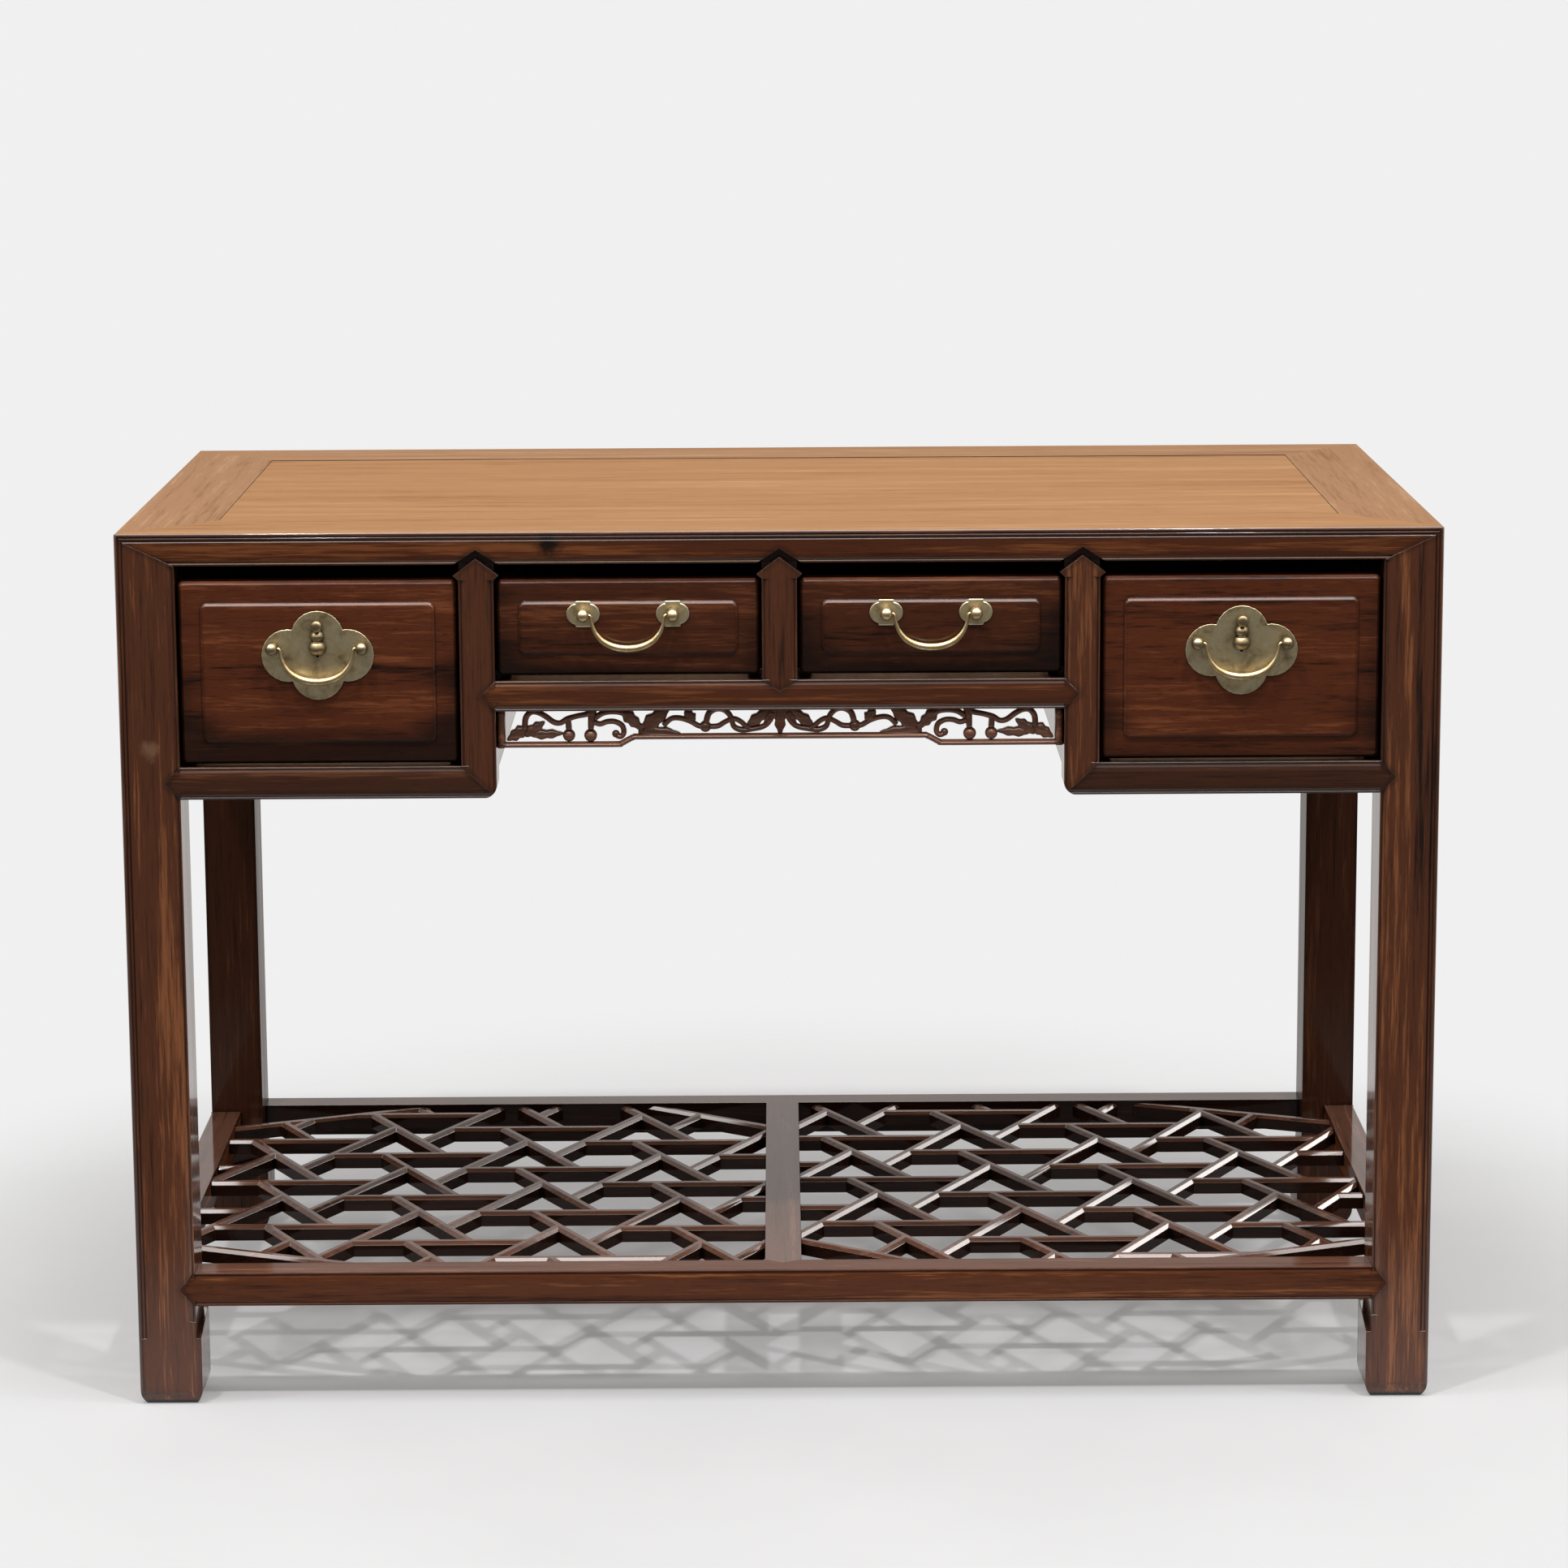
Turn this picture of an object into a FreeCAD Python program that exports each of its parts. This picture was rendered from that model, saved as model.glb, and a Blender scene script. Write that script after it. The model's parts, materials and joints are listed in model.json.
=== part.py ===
"""Writing desk with four drawers, an openwork apron and a lattice foot shelf.

Millimetres, +Z up, the front faces -Y. The origin is on the floor under the middle of the desk.
"""
import FreeCAD, Part
import math
import os
import types

import Sketcher

# Driving dimensions, one cell each in the sheet.
DIMENSIONS = {
    "desk_width": 1200,
    "desk_depth": 600,
    "desk_height": 820,
    "corner_radius": 4,
    "edge_bead": 2.4,
    "edge_groove": 1.8,
    "edge_roll": 6,
    # Legs
    "leg_width": 54,
    "foot_step": 4.5,
    "foot_outer_height": 64,
    "foot_inner_height": 80,
    "sole_inset": 6,
    "sole_rise": 16,
    "sole_radius": 25,
    # Top frame and panel
    "top_thickness": 30,
    "top_rail_width": 85,
    "top_arris": 3,
    "top_bead": 3,
    "top_bead_depth": 1.2,
    "panel_thickness": 14,
    "panel_tongue": 8,
    "panel_tongue_thickness": 6,
    "panel_back_gap": 5,
    "panel_side_gap": 0.5,
    "batten_width": 40,
    "batten_height": 14,
    "batten_spacing": 380,
    # Front and back grids
    "grid_depth": 36,
    "pedestal_opening": 256,
    "pedestal_height": 245,
    "pedestal_rail_height": 30,
    "pedestal_corner_radius": 12,
    "centre_height": 165,
    "centre_rail_height": 28,
    "stile_width": 32,
    "stile_head_width": 41,
    "stile_head_height": 15.5,
    "stile_neck_height": 4,
    "stile_notch_height": 13.5,
    "stile_settling": 8,
    "stile_foot_reach": 10.5,
    "mitre_depth": 12,
    "mitre_reach": 14,
    "tenon_length": 18,
    "tenon_thickness": 9,
    # Panels, cheeks and runners
    "board_thickness": 9,
    "board_recess": 8,
    "board_tongue": 6,
    "runner_width": 26,
    "runner_height": 16,
    "guide_width": 12,
    "guide_height": 12,
    # Apron
    "apron_setback": 9,
    "apron_thickness": 12,
    "apron_height": 36,
    "apron_rise": 7,
    "apron_step_place": 140,
    "apron_rim": 5,
    "apron_post": 8,
    "vine_setback": 2,
    "stem_width": 3,
    # Foot shelf
    "shelf_height": 127,
    "shelf_rail_height": 32,
    "shelf_rail_width": 31,
    "shelf_middle_width": 34,
    "shelf_middle_height": 24,
    "shelf_middle_reach": 9,
    "shelf_middle_tip_height": 8,
    "hexagon_side": 54,
    "hexagon_spacing": 61,
    "bar_width": 12,
    "bar_height": 14,
    "bar_ridge": 3,
    "bar_flat": 5,
    "bar_drop": 3,
    "outer_brace_run": 185,
    "outer_brace_rise": 70,
    "inner_brace_run": 115,
    "inner_brace_rise": 75,
    # Drawers
    "drawer_side_gap": 2,
    "deep_drawer_gap": 2.5,
    "deep_drawer_height": 168,
    "shallow_drawer_gap": 4.5,
    "shallow_drawer_height": 88,
    "drawer_back_space": 40,
    "drawer_recess": 4,
    "front_thickness": 18,
    "field_rise": 3,
    "field_margin": 20,
    "field_corner": 6,
    "field_chamfer": 2.2,
    "front_corner": 5,
    "front_chamfer": 3,
    "drawer_side_thickness": 10,
    "drawer_side_drop": 8,
    "drawer_joint_depth": 9,
    "drawer_bottom_thickness": 6,
    "drawer_bottom_rise": 8,
    "drawer_bottom_tongue": 5,
    "slide_clearance": 0.4,
    # Brass fittings
    "plate_thickness": 1.4,
    "lobe_radius": 24,
    "lobe_side": 26.9,
    "lobe_rise": 16.8,
    "deep_plate_rise": 16.5,
    "deep_pull_rise": 7.6,
    "shallow_pull_rise": 13,
    "post_spacing": 81,
    "ball_radius": 5.4,
    "post_stem_radius": 2.6,
    "post_stand": 9.2,
    "post_shank_width": 3.6,
    "post_leg_length": 26,
    "post_leg_thickness": 1.5,
    "bail_width": 65,
    "bail_drop": 31,
    "bail_end_radius": 1.9,
    "bail_middle_radius": 3.1,
    "bail_pivot_radius": 1.5,
    "bail_pivot_depth": 3.2,
    "pivot_clearance": 0.12,
    "cloud_width": 30,
    "cloud_lobe_radius": 9.6,
    "cloud_tab_width": 14,
    "cloud_tab_height": 23.6,
    "drop_pin_rise": 27.5,
    "drop_pin_radius": 1.5,
    "drop_knob_radius": 4.2,
    "drop_knob_height": 5,
    "drop_eye_radius": 4.8,
    "drop_eye_thickness": 2.4,
    "drop_neck_length": 5.4,
    "drop_neck_radius": 2.3,
    "drop_small_radius": 5.9,
    "drop_waist_place": 14.6,
    "drop_big_radius": 7.6,
    "drop_length": 27,
    "drop_gap": 0.4,
    "keyhole_radius": 2.6,
    "keyhole_slot_width": 2.6,
    "keyhole_slot_height": 9,
    "keyhole_drop": 20,
    "lock_width": 54,
    "lock_height": 46,
    "lock_depth": 9,
}

doc = FreeCAD.newDocument("WritingDesk")
sheet = doc.addObject("Spreadsheet::Sheet", "Sizes")
for row, (alias, value) in enumerate(DIMENSIONS.items(), 1):
    sheet.set(f"A{row}", alias)
    sheet.set(f"B{row}", str(value))
    sheet.setAlias(f"B{row}", alias)
doc.recompute()


class Size:
    """A length that carries its number and the sheet expression that it comes from."""

    def __init__(self, text, number):
        self.text = text
        self.number = number

    def joined(self, sign, other, number):
        return Size(f"({self.text} {sign} {text_of(other)})", number)

    def __add__(self, other):
        return self.joined("+", other, self.number + number_of(other))

    def __sub__(self, other):
        return self.joined("-", other, self.number - number_of(other))

    def __mul__(self, factor):
        return self.joined("*", factor, self.number * number_of(factor))

    def __truediv__(self, divisor):
        return self.joined("/", divisor, self.number / number_of(divisor))

    def __neg__(self):
        return self * -1

    def __rsub__(self, other):
        return -self + other

    __radd__ = __add__
    __rmul__ = __mul__


def text_of(length):
    return length.text if isinstance(length, Size) else f"({length})"


def number_of(length):
    return length.number if isinstance(length, Size) else length


size = types.SimpleNamespace(
    **{alias: Size(f"Sizes.{alias}", sheet.get(alias)) for alias in DIMENSIONS})

# Levels and faces that several pieces share.
half_width = size.desk_width / 2
front = -size.desk_depth / 2
back = size.desk_depth / 2
top = size.desk_height
frame_under = top - size.top_thickness
leg_inside = half_width - size.leg_width
stile_outside = leg_inside - size.pedestal_opening
stile_inside = stile_outside - size.stile_width
pedestal_under = top - size.pedestal_height
pedestal_floor = pedestal_under + size.pedestal_rail_height
centre_under = top - size.centre_height
centre_floor = centre_under + size.centre_rail_height
shelf_top = size.shelf_height
shelf_under = shelf_top - size.shelf_rail_height
# The mitres between legs and top rails run at 45 degrees through the mouldings of the outer edge.
mitre_turn = size.top_arris + size.top_bead + size.top_bead_depth * 2

# A bead's radius over its height, just more than half, so that it is nearly a half round.
BEAD_ROUNDNESS = 0.52
# The flat of an eight-sided outline reaches this share of its radius either way from its middle.
FLAT = math.tan(math.radians(22.5))
# Sides of turned brass pieces and of the lobes of brass plates, drawn with flats.
TURNED_SIDES = 12
LOBE_SIDES = 24
# A face rolls off to its beaded edge in two flats, which meet at this share of the roll's width and depth.
ROLL_PLACE = 0.4
ROLL_DEPTH = 0.36

FRONT, BACK = -1, 1
LEFT, RIGHT = -1, 1
SIDES = {"left": LEFT, "right": RIGHT}
FACES = {"front": FRONT, "back": BACK}
pieces = {}


def bind(thing, properties):
    """Ties properties to sheet expressions."""
    for name, length in properties.items():
        thing.setExpression(name, text_of(length))


def place(thing, x, y, z):
    bind(thing, {"Placement.Base.x": x, "Placement.Base.y": y, "Placement.Base.z": z})


def node(label, thing):
    """Names a finished piece."""
    thing.Label = label
    pieces[label] = thing
    return thing


def across(side, near, far):
    """Limits on X between two distances from the middle, on one side."""
    return (near, far) if side == RIGHT else (-far, -near)


def inward(face, near, far):
    """Limits on Y between two depths behind the front face or before the back face."""
    return (front + near, front + far) if face == FRONT else (back - far, back - near)


def depth_at(face, depth):
    return front + depth if face == FRONT else back - depth


def box(name, x, y, z):
    """A block between two limits on each axis."""
    block = doc.addObject("Part::Box", name)
    bind(block, {"Length": x[1] - x[0], "Width": y[1] - y[0], "Height": z[1] - z[0]})
    place(block, x[0], y[0], z[0])
    return block


def rod(name, radius, start, length, along, sides=TURNED_SIDES):
    """A round bar, filed to flats, from a point along an axis: Y for pins, X for pivots."""
    turns = {"Y": FreeCAD.Rotation(FreeCAD.Vector(1, 0, 0), -90),
             "X": FreeCAD.Rotation(FreeCAD.Vector(0, 1, 0), 90)}
    bar = doc.addObject("Part::Prism", name)
    bar.Polygon = sides
    bar.Placement.Rotation = turns[along]
    bind(bar, {"Circumradius": radius, "Height": length})
    place(bar, *start)
    return bar


def fuse(name, *shapes):
    fusion = doc.addObject("Part::MultiFuse", name)
    fusion.Shapes = list(shapes)
    fusion.Refine = True
    return fusion


def common(name, *shapes):
    shared = doc.addObject("Part::MultiCommon", name)
    shared.Shapes = list(shapes)
    return shared


def cut(base, *tools):
    """Seats other pieces in a piece, each in a cut of exactly its own shape."""
    for tool in tools:
        rest = doc.addObject("Part::Cut", f"{base.Name}_cut")
        rest.Base = base
        rest.Tool = tool
        base = rest
    return base


def group(name, *shapes):
    compound = doc.addObject("Part::Compound", name)
    compound.Links = list(shapes)
    return compound


def signed_area(points):
    pairs = zip(points, points[1:] + points[:1])
    return sum(a.x * b.y - b.x * a.y for a, b in pairs) / 2


def arc_between(start, end, radius, centre_on_left):
    """The short arc from start to end, with its centre on one side of that line."""
    chord = end - start
    normal = FreeCAD.Vector(-chord.y, chord.x, 0).normalize()
    offset = math.sqrt(max(radius ** 2 - chord.Length ** 2 / 4, 0))
    centre = (start + end) / 2 + normal * (offset if centre_on_left else -offset)
    first, last = (start, end) if centre_on_left else (end, start)
    angles = [math.atan2(p.y - centre.y, p.x - centre.x) for p in (first, last)]
    circle = Part.Circle(centre, FreeCAD.Vector(0, 0, 1), radius)
    return Part.ArcOfCircle(circle, angles[0], angles[1])


def sketch_on(body, name, plane):
    sketch = body.newObject("Sketcher::SketchObject", name)
    support = next(f for f in body.Origin.OriginFeatures if f.Role == f"{plane}_Plane")
    sketch.AttachmentSupport = [(support, "")]
    sketch.MapMode = "FlatFace"
    return sketch


def draw(sketch, points, arcs=None, hollow=()):
    """Draws a closed outline whose corners and radii follow the sheet.

    arcs gives the radius of the edge that leaves a point; the arc bulges out, or in where hollow names it.
    """
    arcs = arcs or {}
    count = len(points)
    spots = [FreeCAD.Vector(number_of(x), number_of(y), 0) for x, y in points]
    anticlockwise = signed_area(spots) > 0
    starts = []
    ends = []
    for index in range(count):
        start, end = spots[index], spots[(index + 1) % count]
        if index in arcs:
            on_left = anticlockwise != (index in hollow)
            sketch.addGeometry(arc_between(start, end, number_of(arcs[index]), on_left), False)
            starts.append(1 if on_left else 2)
        else:
            sketch.addGeometry(Part.LineSegment(start, end), False)
            starts.append(1)
        ends.append(3 - starts[-1])
    for index in range(count):
        following = (index + 1) % count
        sketch.addConstraint(
            Sketcher.Constraint("Coincident", index, ends[index], following, starts[following]))
    for index, corner in enumerate(points):
        for kind, length in zip(("DistanceX", "DistanceY"), corner):
            number = sketch.addConstraint(
                Sketcher.Constraint(kind, -1, 1, index, starts[index], number_of(length)))
            sketch.setExpression(f"Constraints[{number}]", text_of(length))
    for index, radius in arcs.items():
        number = sketch.addConstraint(Sketcher.Constraint("Radius", index, number_of(radius)))
        sketch.setExpression(f"Constraints[{number}]", text_of(radius))


PAD_AXIS = {"XY": "z", "XZ": "y", "YZ": "x"}


def prism(name, plane, points, limits, arcs=None, hollow=()):
    """An outline on a plane, padded between two limits along the third axis."""
    body = doc.addObject("PartDesign::Body", name)
    sketch = sketch_on(body, f"{name}_outline", plane)
    draw(sketch, points, arcs, hollow)
    pad = body.newObject("PartDesign::Pad", f"{name}_pad")
    pad.Profile = sketch
    bind(pad, {"Length": limits[1] - limits[0]})
    start = limits[1] if plane == "XZ" else limits[0]
    bind(body, {f"Placement.Base.{PAD_AXIS[plane]}": start})
    return body


def rounded_box(x, z, radius):
    """Corner points and arcs of an upright rectangle with rounded corners."""
    points = [(x[0] + radius, z[0]), (x[1] - radius, z[0]), (x[1], z[0] + radius), (x[1], z[1] - radius),
              (x[1] - radius, z[1]), (x[0] + radius, z[1]), (x[0], z[1] - radius), (x[0], z[0] + radius)]
    return points, {1: radius, 3: radius, 5: radius, 7: radius}


# The plan of the whole desk, with its rounded upright corners.
plan_points, plan_arcs = rounded_box((-half_width, half_width), (front, back), size.corner_radius)
plan = prism("desk_plan", "XY", plan_points, (0, top), plan_arcs)


# Mouldings, each cut from a member as a relief along one edge of a face
def relief(name, plane, edge, across_way, face, through_way, run, profile):
    """What a moulding takes off a straight edge.

    profile is a chain of points, each a distance from the edge and a depth below the face.
    """
    points = [(edge + near * across_way, face + depth * through_way) for near, depth in profile]
    if plane != "XY":
        points = [(through, height) for height, through in points]
    return prism(name, plane, points, run)


def side_relief(name, edge, across_way, face, through_way, run, profile):
    """The relief of an upright edge on a side face, where the depth runs along X."""
    points = [(face + depth * through_way, edge + near * across_way) for near, depth in profile]
    return prism(name, "XY", points, run)


def beaded_edge():
    """A half-round bead at the edge, and the face rolling off towards it."""
    bead, groove, roll = size.edge_bead, size.edge_groove, size.edge_roll
    radius = bead / 2
    slant = math.sqrt(0.5)
    return [(0, 0), (0, groove), (radius * (1 - slant), groove - radius * slant), (radius, groove - radius),
            (radius * (1 + slant), groove - radius * slant), (bead, groove),
            (bead + roll * ROLL_PLACE, groove * ROLL_DEPTH), (bead + roll, 0)]


def sunk_bead():
    """A bead between two grooves, behind the rounded arris of the top and of the legs."""
    start, width, depth = size.top_arris, size.top_bead, size.top_bead_depth
    groove = start + depth
    return [(start, 0), (groove, depth), (groove + width / 5, depth / 3), (groove + width * 4 / 5, depth / 3),
            (groove + width, depth), (groove + width + depth, 0)]


def bead_rail(rail, name, plane, height, face, through_way, run):
    """Beads the lower and the upper edge of a rail's face."""
    edges = ((height[0], 1), (height[1], -1))
    return cut(rail, *[relief(f"{name}_bead", plane, edge, way, face, through_way, run, beaded_edge())
                       for edge, way in edges])


# Top frame
def top_profile(edge, towards):
    """Section of a top rail: rounded arris, one bead below it, plain face."""
    arris = top - size.top_arris
    bead = arris - size.top_bead
    inside = edge + size.top_rail_width * towards
    groove = edge + size.top_bead_depth * towards
    points = [(edge, frame_under), (inside, frame_under), (inside, top),
              (edge + size.top_arris * towards, top), (edge, arris), (groove, arris - size.top_bead_depth),
              (groove, bead - size.top_bead_depth), (edge, bead - size.top_bead_depth * 2)]
    return points, {3: size.top_arris, 5: size.top_bead * BEAD_ROUNDNESS}


def long_top_rail(face):
    name = f"top_{'front' if face == FRONT else 'back'}"
    outer = depth_at(face, 0)
    inner = depth_at(face, size.top_rail_width)
    mitre = half_width - size.top_rail_width
    face_view = [(-half_width, top), (half_width, top), (half_width - mitre_turn, top - mitre_turn),
                 (leg_inside, frame_under), (-leg_inside, frame_under),
                 (mitre_turn - half_width, top - mitre_turn)]
    plan_view = [(-half_width, outer), (half_width, outer), (mitre, inner), (-mitre, inner)]
    section, arcs = top_profile(outer, -face)
    blank = common(f"{name}_rail_blank",
                   prism(f"{name}_face", "XZ", face_view, inward(face, 0, size.top_rail_width)),
                   prism(f"{name}_plan", "XY", plan_view, (frame_under, top)),
                   prism(f"{name}_section", "YZ", section, (-half_width, half_width), arcs),
                   plan)
    return cut(blank, relief(f"{name}_bead", "YZ", frame_under, 1, outer, -face, (-half_width, half_width),
                             beaded_edge()))


def short_top_rail(side):
    name = f"top_{'left' if side == LEFT else 'right'}"
    outer = half_width * side
    inner = (half_width - size.top_rail_width) * side
    mitre = size.top_rail_width
    face_view = [(front, top), (back, top), (back - mitre_turn, top - mitre_turn),
                 (back - size.leg_width, frame_under), (front + size.leg_width, frame_under),
                 (front + mitre_turn, top - mitre_turn)]
    plan_view = [(outer, front), (outer, back), (inner, back - mitre), (inner, front + mitre)]
    section, arcs = top_profile(outer, -side)
    blank = common(f"{name}_rail_blank",
                   prism(f"{name}_face", "YZ", face_view, across(side, half_width - mitre, half_width)),
                   prism(f"{name}_plan", "XY", plan_view, (frame_under, top)),
                   prism(f"{name}_section", "XZ", section, (front, back), arcs),
                   plan)
    return cut(blank, relief(f"{name}_bead", "XZ", frame_under, 1, outer, -side, (front, back), beaded_edge()))


def top_panel():
    """Floating panel, flush with the frame, held by a tongue all round; and the groove for that tongue."""
    opening_x = half_width - size.top_rail_width
    opening_y = back - size.top_rail_width
    edge_x = opening_x - size.panel_side_gap
    board_y = (-opening_y + size.panel_side_gap, opening_y - size.panel_back_gap)
    tongue_z = top - size.panel_thickness
    board = box("panel_board", (-edge_x, edge_x), board_y, (tongue_z, top))
    reach = size.panel_tongue - size.panel_side_gap
    tongue = box("panel_tongues", (-edge_x - reach, edge_x + reach), (board_y[0] - reach, board_y[1] + reach),
                 (tongue_z, tongue_z + size.panel_tongue_thickness))
    groove = box("panel_groove", (-opening_x - size.panel_tongue, opening_x + size.panel_tongue),
                 (-opening_y - size.panel_tongue, opening_y + size.panel_tongue),
                 (tongue_z, tongue_z + size.panel_tongue_thickness))
    return fuse("panel", board, tongue), groove


def top_battens():
    """Battens under the panel, housed in the front and back rails."""
    under_panel = top - size.panel_thickness
    reach = back - size.top_rail_width + size.panel_tongue
    battens = []
    for side in SIDES.values():
        middle = size.batten_spacing / 2 * side
        battens.append(box("batten", (middle - size.batten_width / 2, middle + size.batten_width / 2),
                           (-reach, reach), (under_panel - size.batten_height, under_panel)))
    return group("battens", *battens)


# Legs
def leg_blank(name, side, face):
    """Leg with a mitred head and a foot that steps out on its two inner faces."""
    outer = half_width * side
    shaft_foot = size.foot_outer_height / 2
    foot_width = size.leg_width + size.foot_step

    def shaft_outline(edge, towards):
        inside = edge + size.leg_width * towards
        return [(edge, shaft_foot), (edge, top), (edge + mitre_turn * towards, top - mitre_turn),
                (inside, frame_under), (inside, shaft_foot)]

    def foot_outline(edge, towards):
        inside = edge + foot_width * towards
        points = [(edge + size.sole_inset * towards, 0), (inside - size.sole_inset * towards, 0),
                  (inside, size.sole_rise), (inside, size.foot_inner_height),
                  (edge, size.foot_outer_height), (edge, size.sole_rise)]
        return points, {1: size.sole_radius, 5: size.sole_radius}

    face_y = depth_at(face, 0)
    shaft = common(f"{name}_shaft",
                   prism(f"{name}_front", "XZ", shaft_outline(outer, -side), inward(face, 0, size.leg_width)),
                   prism(f"{name}_side", "YZ", shaft_outline(face_y, -face),
                         across(side, leg_inside, half_width)),
                   plan)
    run = (size.foot_outer_height, top)
    inner_run = (size.foot_inner_height, frame_under)
    shaft = cut(shaft,
                relief(f"{name}_front_arris", "XY", outer, -side, face_y, -face, run, sunk_bead()),
                relief(f"{name}_front_edge", "XY", leg_inside * side, side, face_y, -face, inner_run,
                       beaded_edge()),
                side_relief(f"{name}_side_arris", face_y, -face, outer, -side, run, sunk_bead()),
                side_relief(f"{name}_side_edge", depth_at(face, size.leg_width), face, outer, -side, inner_run,
                            beaded_edge()))
    front_foot, arcs = foot_outline(outer, -side)
    side_foot, _ = foot_outline(face_y, -face)
    foot = common(f"{name}_foot",
                  prism(f"{name}_foot_front", "XZ", front_foot, inward(face, 0, foot_width), arcs),
                  prism(f"{name}_foot_side", "YZ", side_foot,
                        across(side, half_width - foot_width, half_width), arcs),
                  plan)
    return fuse(name, shaft, foot)


# Front and back grids
def mitred_rail(name, plane, run, height, face_limits, core_limits, tenon_limits):
    """A rail whose outer layer ends in arrow tips, with a tenon behind each tip.

    run is its length between shoulders, and height its limits on Z.
    """
    middle = (height[0] + height[1]) / 2
    face_view = [(run[0], height[0]), (run[1], height[0]), (run[1] + size.mitre_reach, middle),
                 (run[1], height[1]), (run[0], height[1]), (run[0] - size.mitre_reach, middle)]
    core_view = [(run[0], height[0]), (run[1], height[0]), (run[1], height[1]), (run[0], height[1])]
    tenon_run = (run[0] - size.tenon_length, run[1] + size.tenon_length)
    tenon_height = ((height[0] * 3 + height[1]) / 4, (height[0] + height[1] * 3) / 4)
    along = {"XZ": (tenon_run, tenon_limits, tenon_height), "YZ": (tenon_limits, tenon_run, tenon_height)}
    return fuse(name,
                prism(f"{name}_face", plane, face_view, face_limits),
                prism(f"{name}_core", plane, core_view, core_limits),
                box(f"{name}_tenon", *along[plane]))


def grid_layers(face):
    """Depths of a grid member's mitred layer, its core and its tenon."""
    tenon = size.mitre_depth + (size.grid_depth - size.mitre_depth - size.tenon_thickness) / 2
    return (inward(face, 0, size.mitre_depth), inward(face, size.mitre_depth, size.grid_depth),
            inward(face, tenon, tenon + size.tenon_thickness))


def stile_head(middle):
    """Arrow head of a stile, from its neck on the right over the tip to its neck on the left."""
    tip = frame_under + size.stile_notch_height - size.stile_settling
    ear = tip - size.stile_head_height
    neck = ear - size.stile_neck_height
    half_head = size.stile_head_width / 2
    half_stile = size.stile_width / 2
    return [(middle + half_stile, neck), (middle + half_head, ear), (middle, tip), (middle - half_head, ear),
            (middle - half_stile, neck)]


def stile_notch(name, middle, face):
    """The notch in the top rail that a stile's arrow head points into."""
    half_head = size.stile_head_width / 2
    points = [(middle - half_head, frame_under), (middle + half_head, frame_under),
              (middle, frame_under + size.stile_notch_height)]
    return prism(name, "XZ", points, grid_layers(face)[0])


def stile_parts(name, middle, foot, face):
    """A stile over a given foot outline, with a mitred head and a tenon into the top rail."""
    mitre_layer, core_layer, tenon_layer = grid_layers(face)
    half_stile = size.stile_width / 2
    core_view = foot + [(middle + half_stile, frame_under), (middle - half_stile, frame_under)]
    quarter = size.stile_width / 4
    head = stile_head(middle)
    stile = fuse(name,
                 prism(f"{name}_face", "XZ", foot + head, mitre_layer),
                 prism(f"{name}_core", "XZ", core_view, core_layer),
                 box(f"{name}_tenon", (middle - quarter, middle + quarter), tenon_layer,
                     (frame_under - size.tenon_length, frame_under + size.tenon_length)))
    return bead_stile(stile, name, middle, (foot[0][1], head[0][1]), (foot[-1][1], head[0][1]), face)


def bead_stile(stile, name, middle, left_run, right_run, face):
    """Beads both edges of a stile, each between two levels."""
    half_stile = size.stile_width / 2
    edges = ((middle - half_stile, 1, left_run), (middle + half_stile, -1, right_run))
    return cut(stile, *[relief(f"{name}_bead", "XY", edge, way, depth_at(face, 0), -face, run, beaded_edge())
                        for edge, way, run in edges])


def pedestal_corner(name, side, face):
    """What the rounded lower corner takes off a pedestal."""
    edge = stile_inside * side
    inside = (stile_inside + size.pedestal_corner_radius) * side
    raised = pedestal_under + size.pedestal_corner_radius
    points = [(edge, pedestal_under), (inside, pedestal_under), (edge, raised)]
    return prism(name, "XZ", points, inward(face, 0, size.grid_depth),
                 {1: size.pedestal_corner_radius}, hollow=(1,))


def pedestal_stile(name, side, face):
    """Stile beside a deep drawer, mitred into the pedestal rail at its foot."""
    outer, inner = stile_outside * side, stile_inside * side
    foot = [(inner, pedestal_under), (outer, pedestal_floor)]
    if side == LEFT:
        foot.reverse()
    middle = (stile_outside + stile_inside) / 2 * side
    return stile_parts(name, middle, foot, face)


def pedestal_rail(name, side, face):
    """Rail under a deep drawer: arrow tip into the leg, mitre into the stile."""
    mitre_layer, core_layer, tenon_layer = grid_layers(face)
    middle = (pedestal_under + pedestal_floor) / 2
    inner = [(leg_inside * side, pedestal_floor), (stile_outside * side, pedestal_floor),
             (stile_inside * side, pedestal_under), (leg_inside * side, pedestal_under)]
    tip = [((leg_inside + size.mitre_reach) * side, middle)]
    quarter = size.pedestal_rail_height / 4
    rail = fuse(name,
                prism(f"{name}_face", "XZ", inner + tip, mitre_layer),
                prism(f"{name}_core", "XZ", inner, core_layer),
                box(f"{name}_tenon",
                    across(side, leg_inside - size.tenon_length, leg_inside + size.tenon_length),
                    tenon_layer, (middle - quarter, middle + quarter)))
    return bead_rail(rail, name, "YZ", (pedestal_under, pedestal_floor), depth_at(face, 0), -face,
                     across(side, stile_inside, leg_inside))


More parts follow.
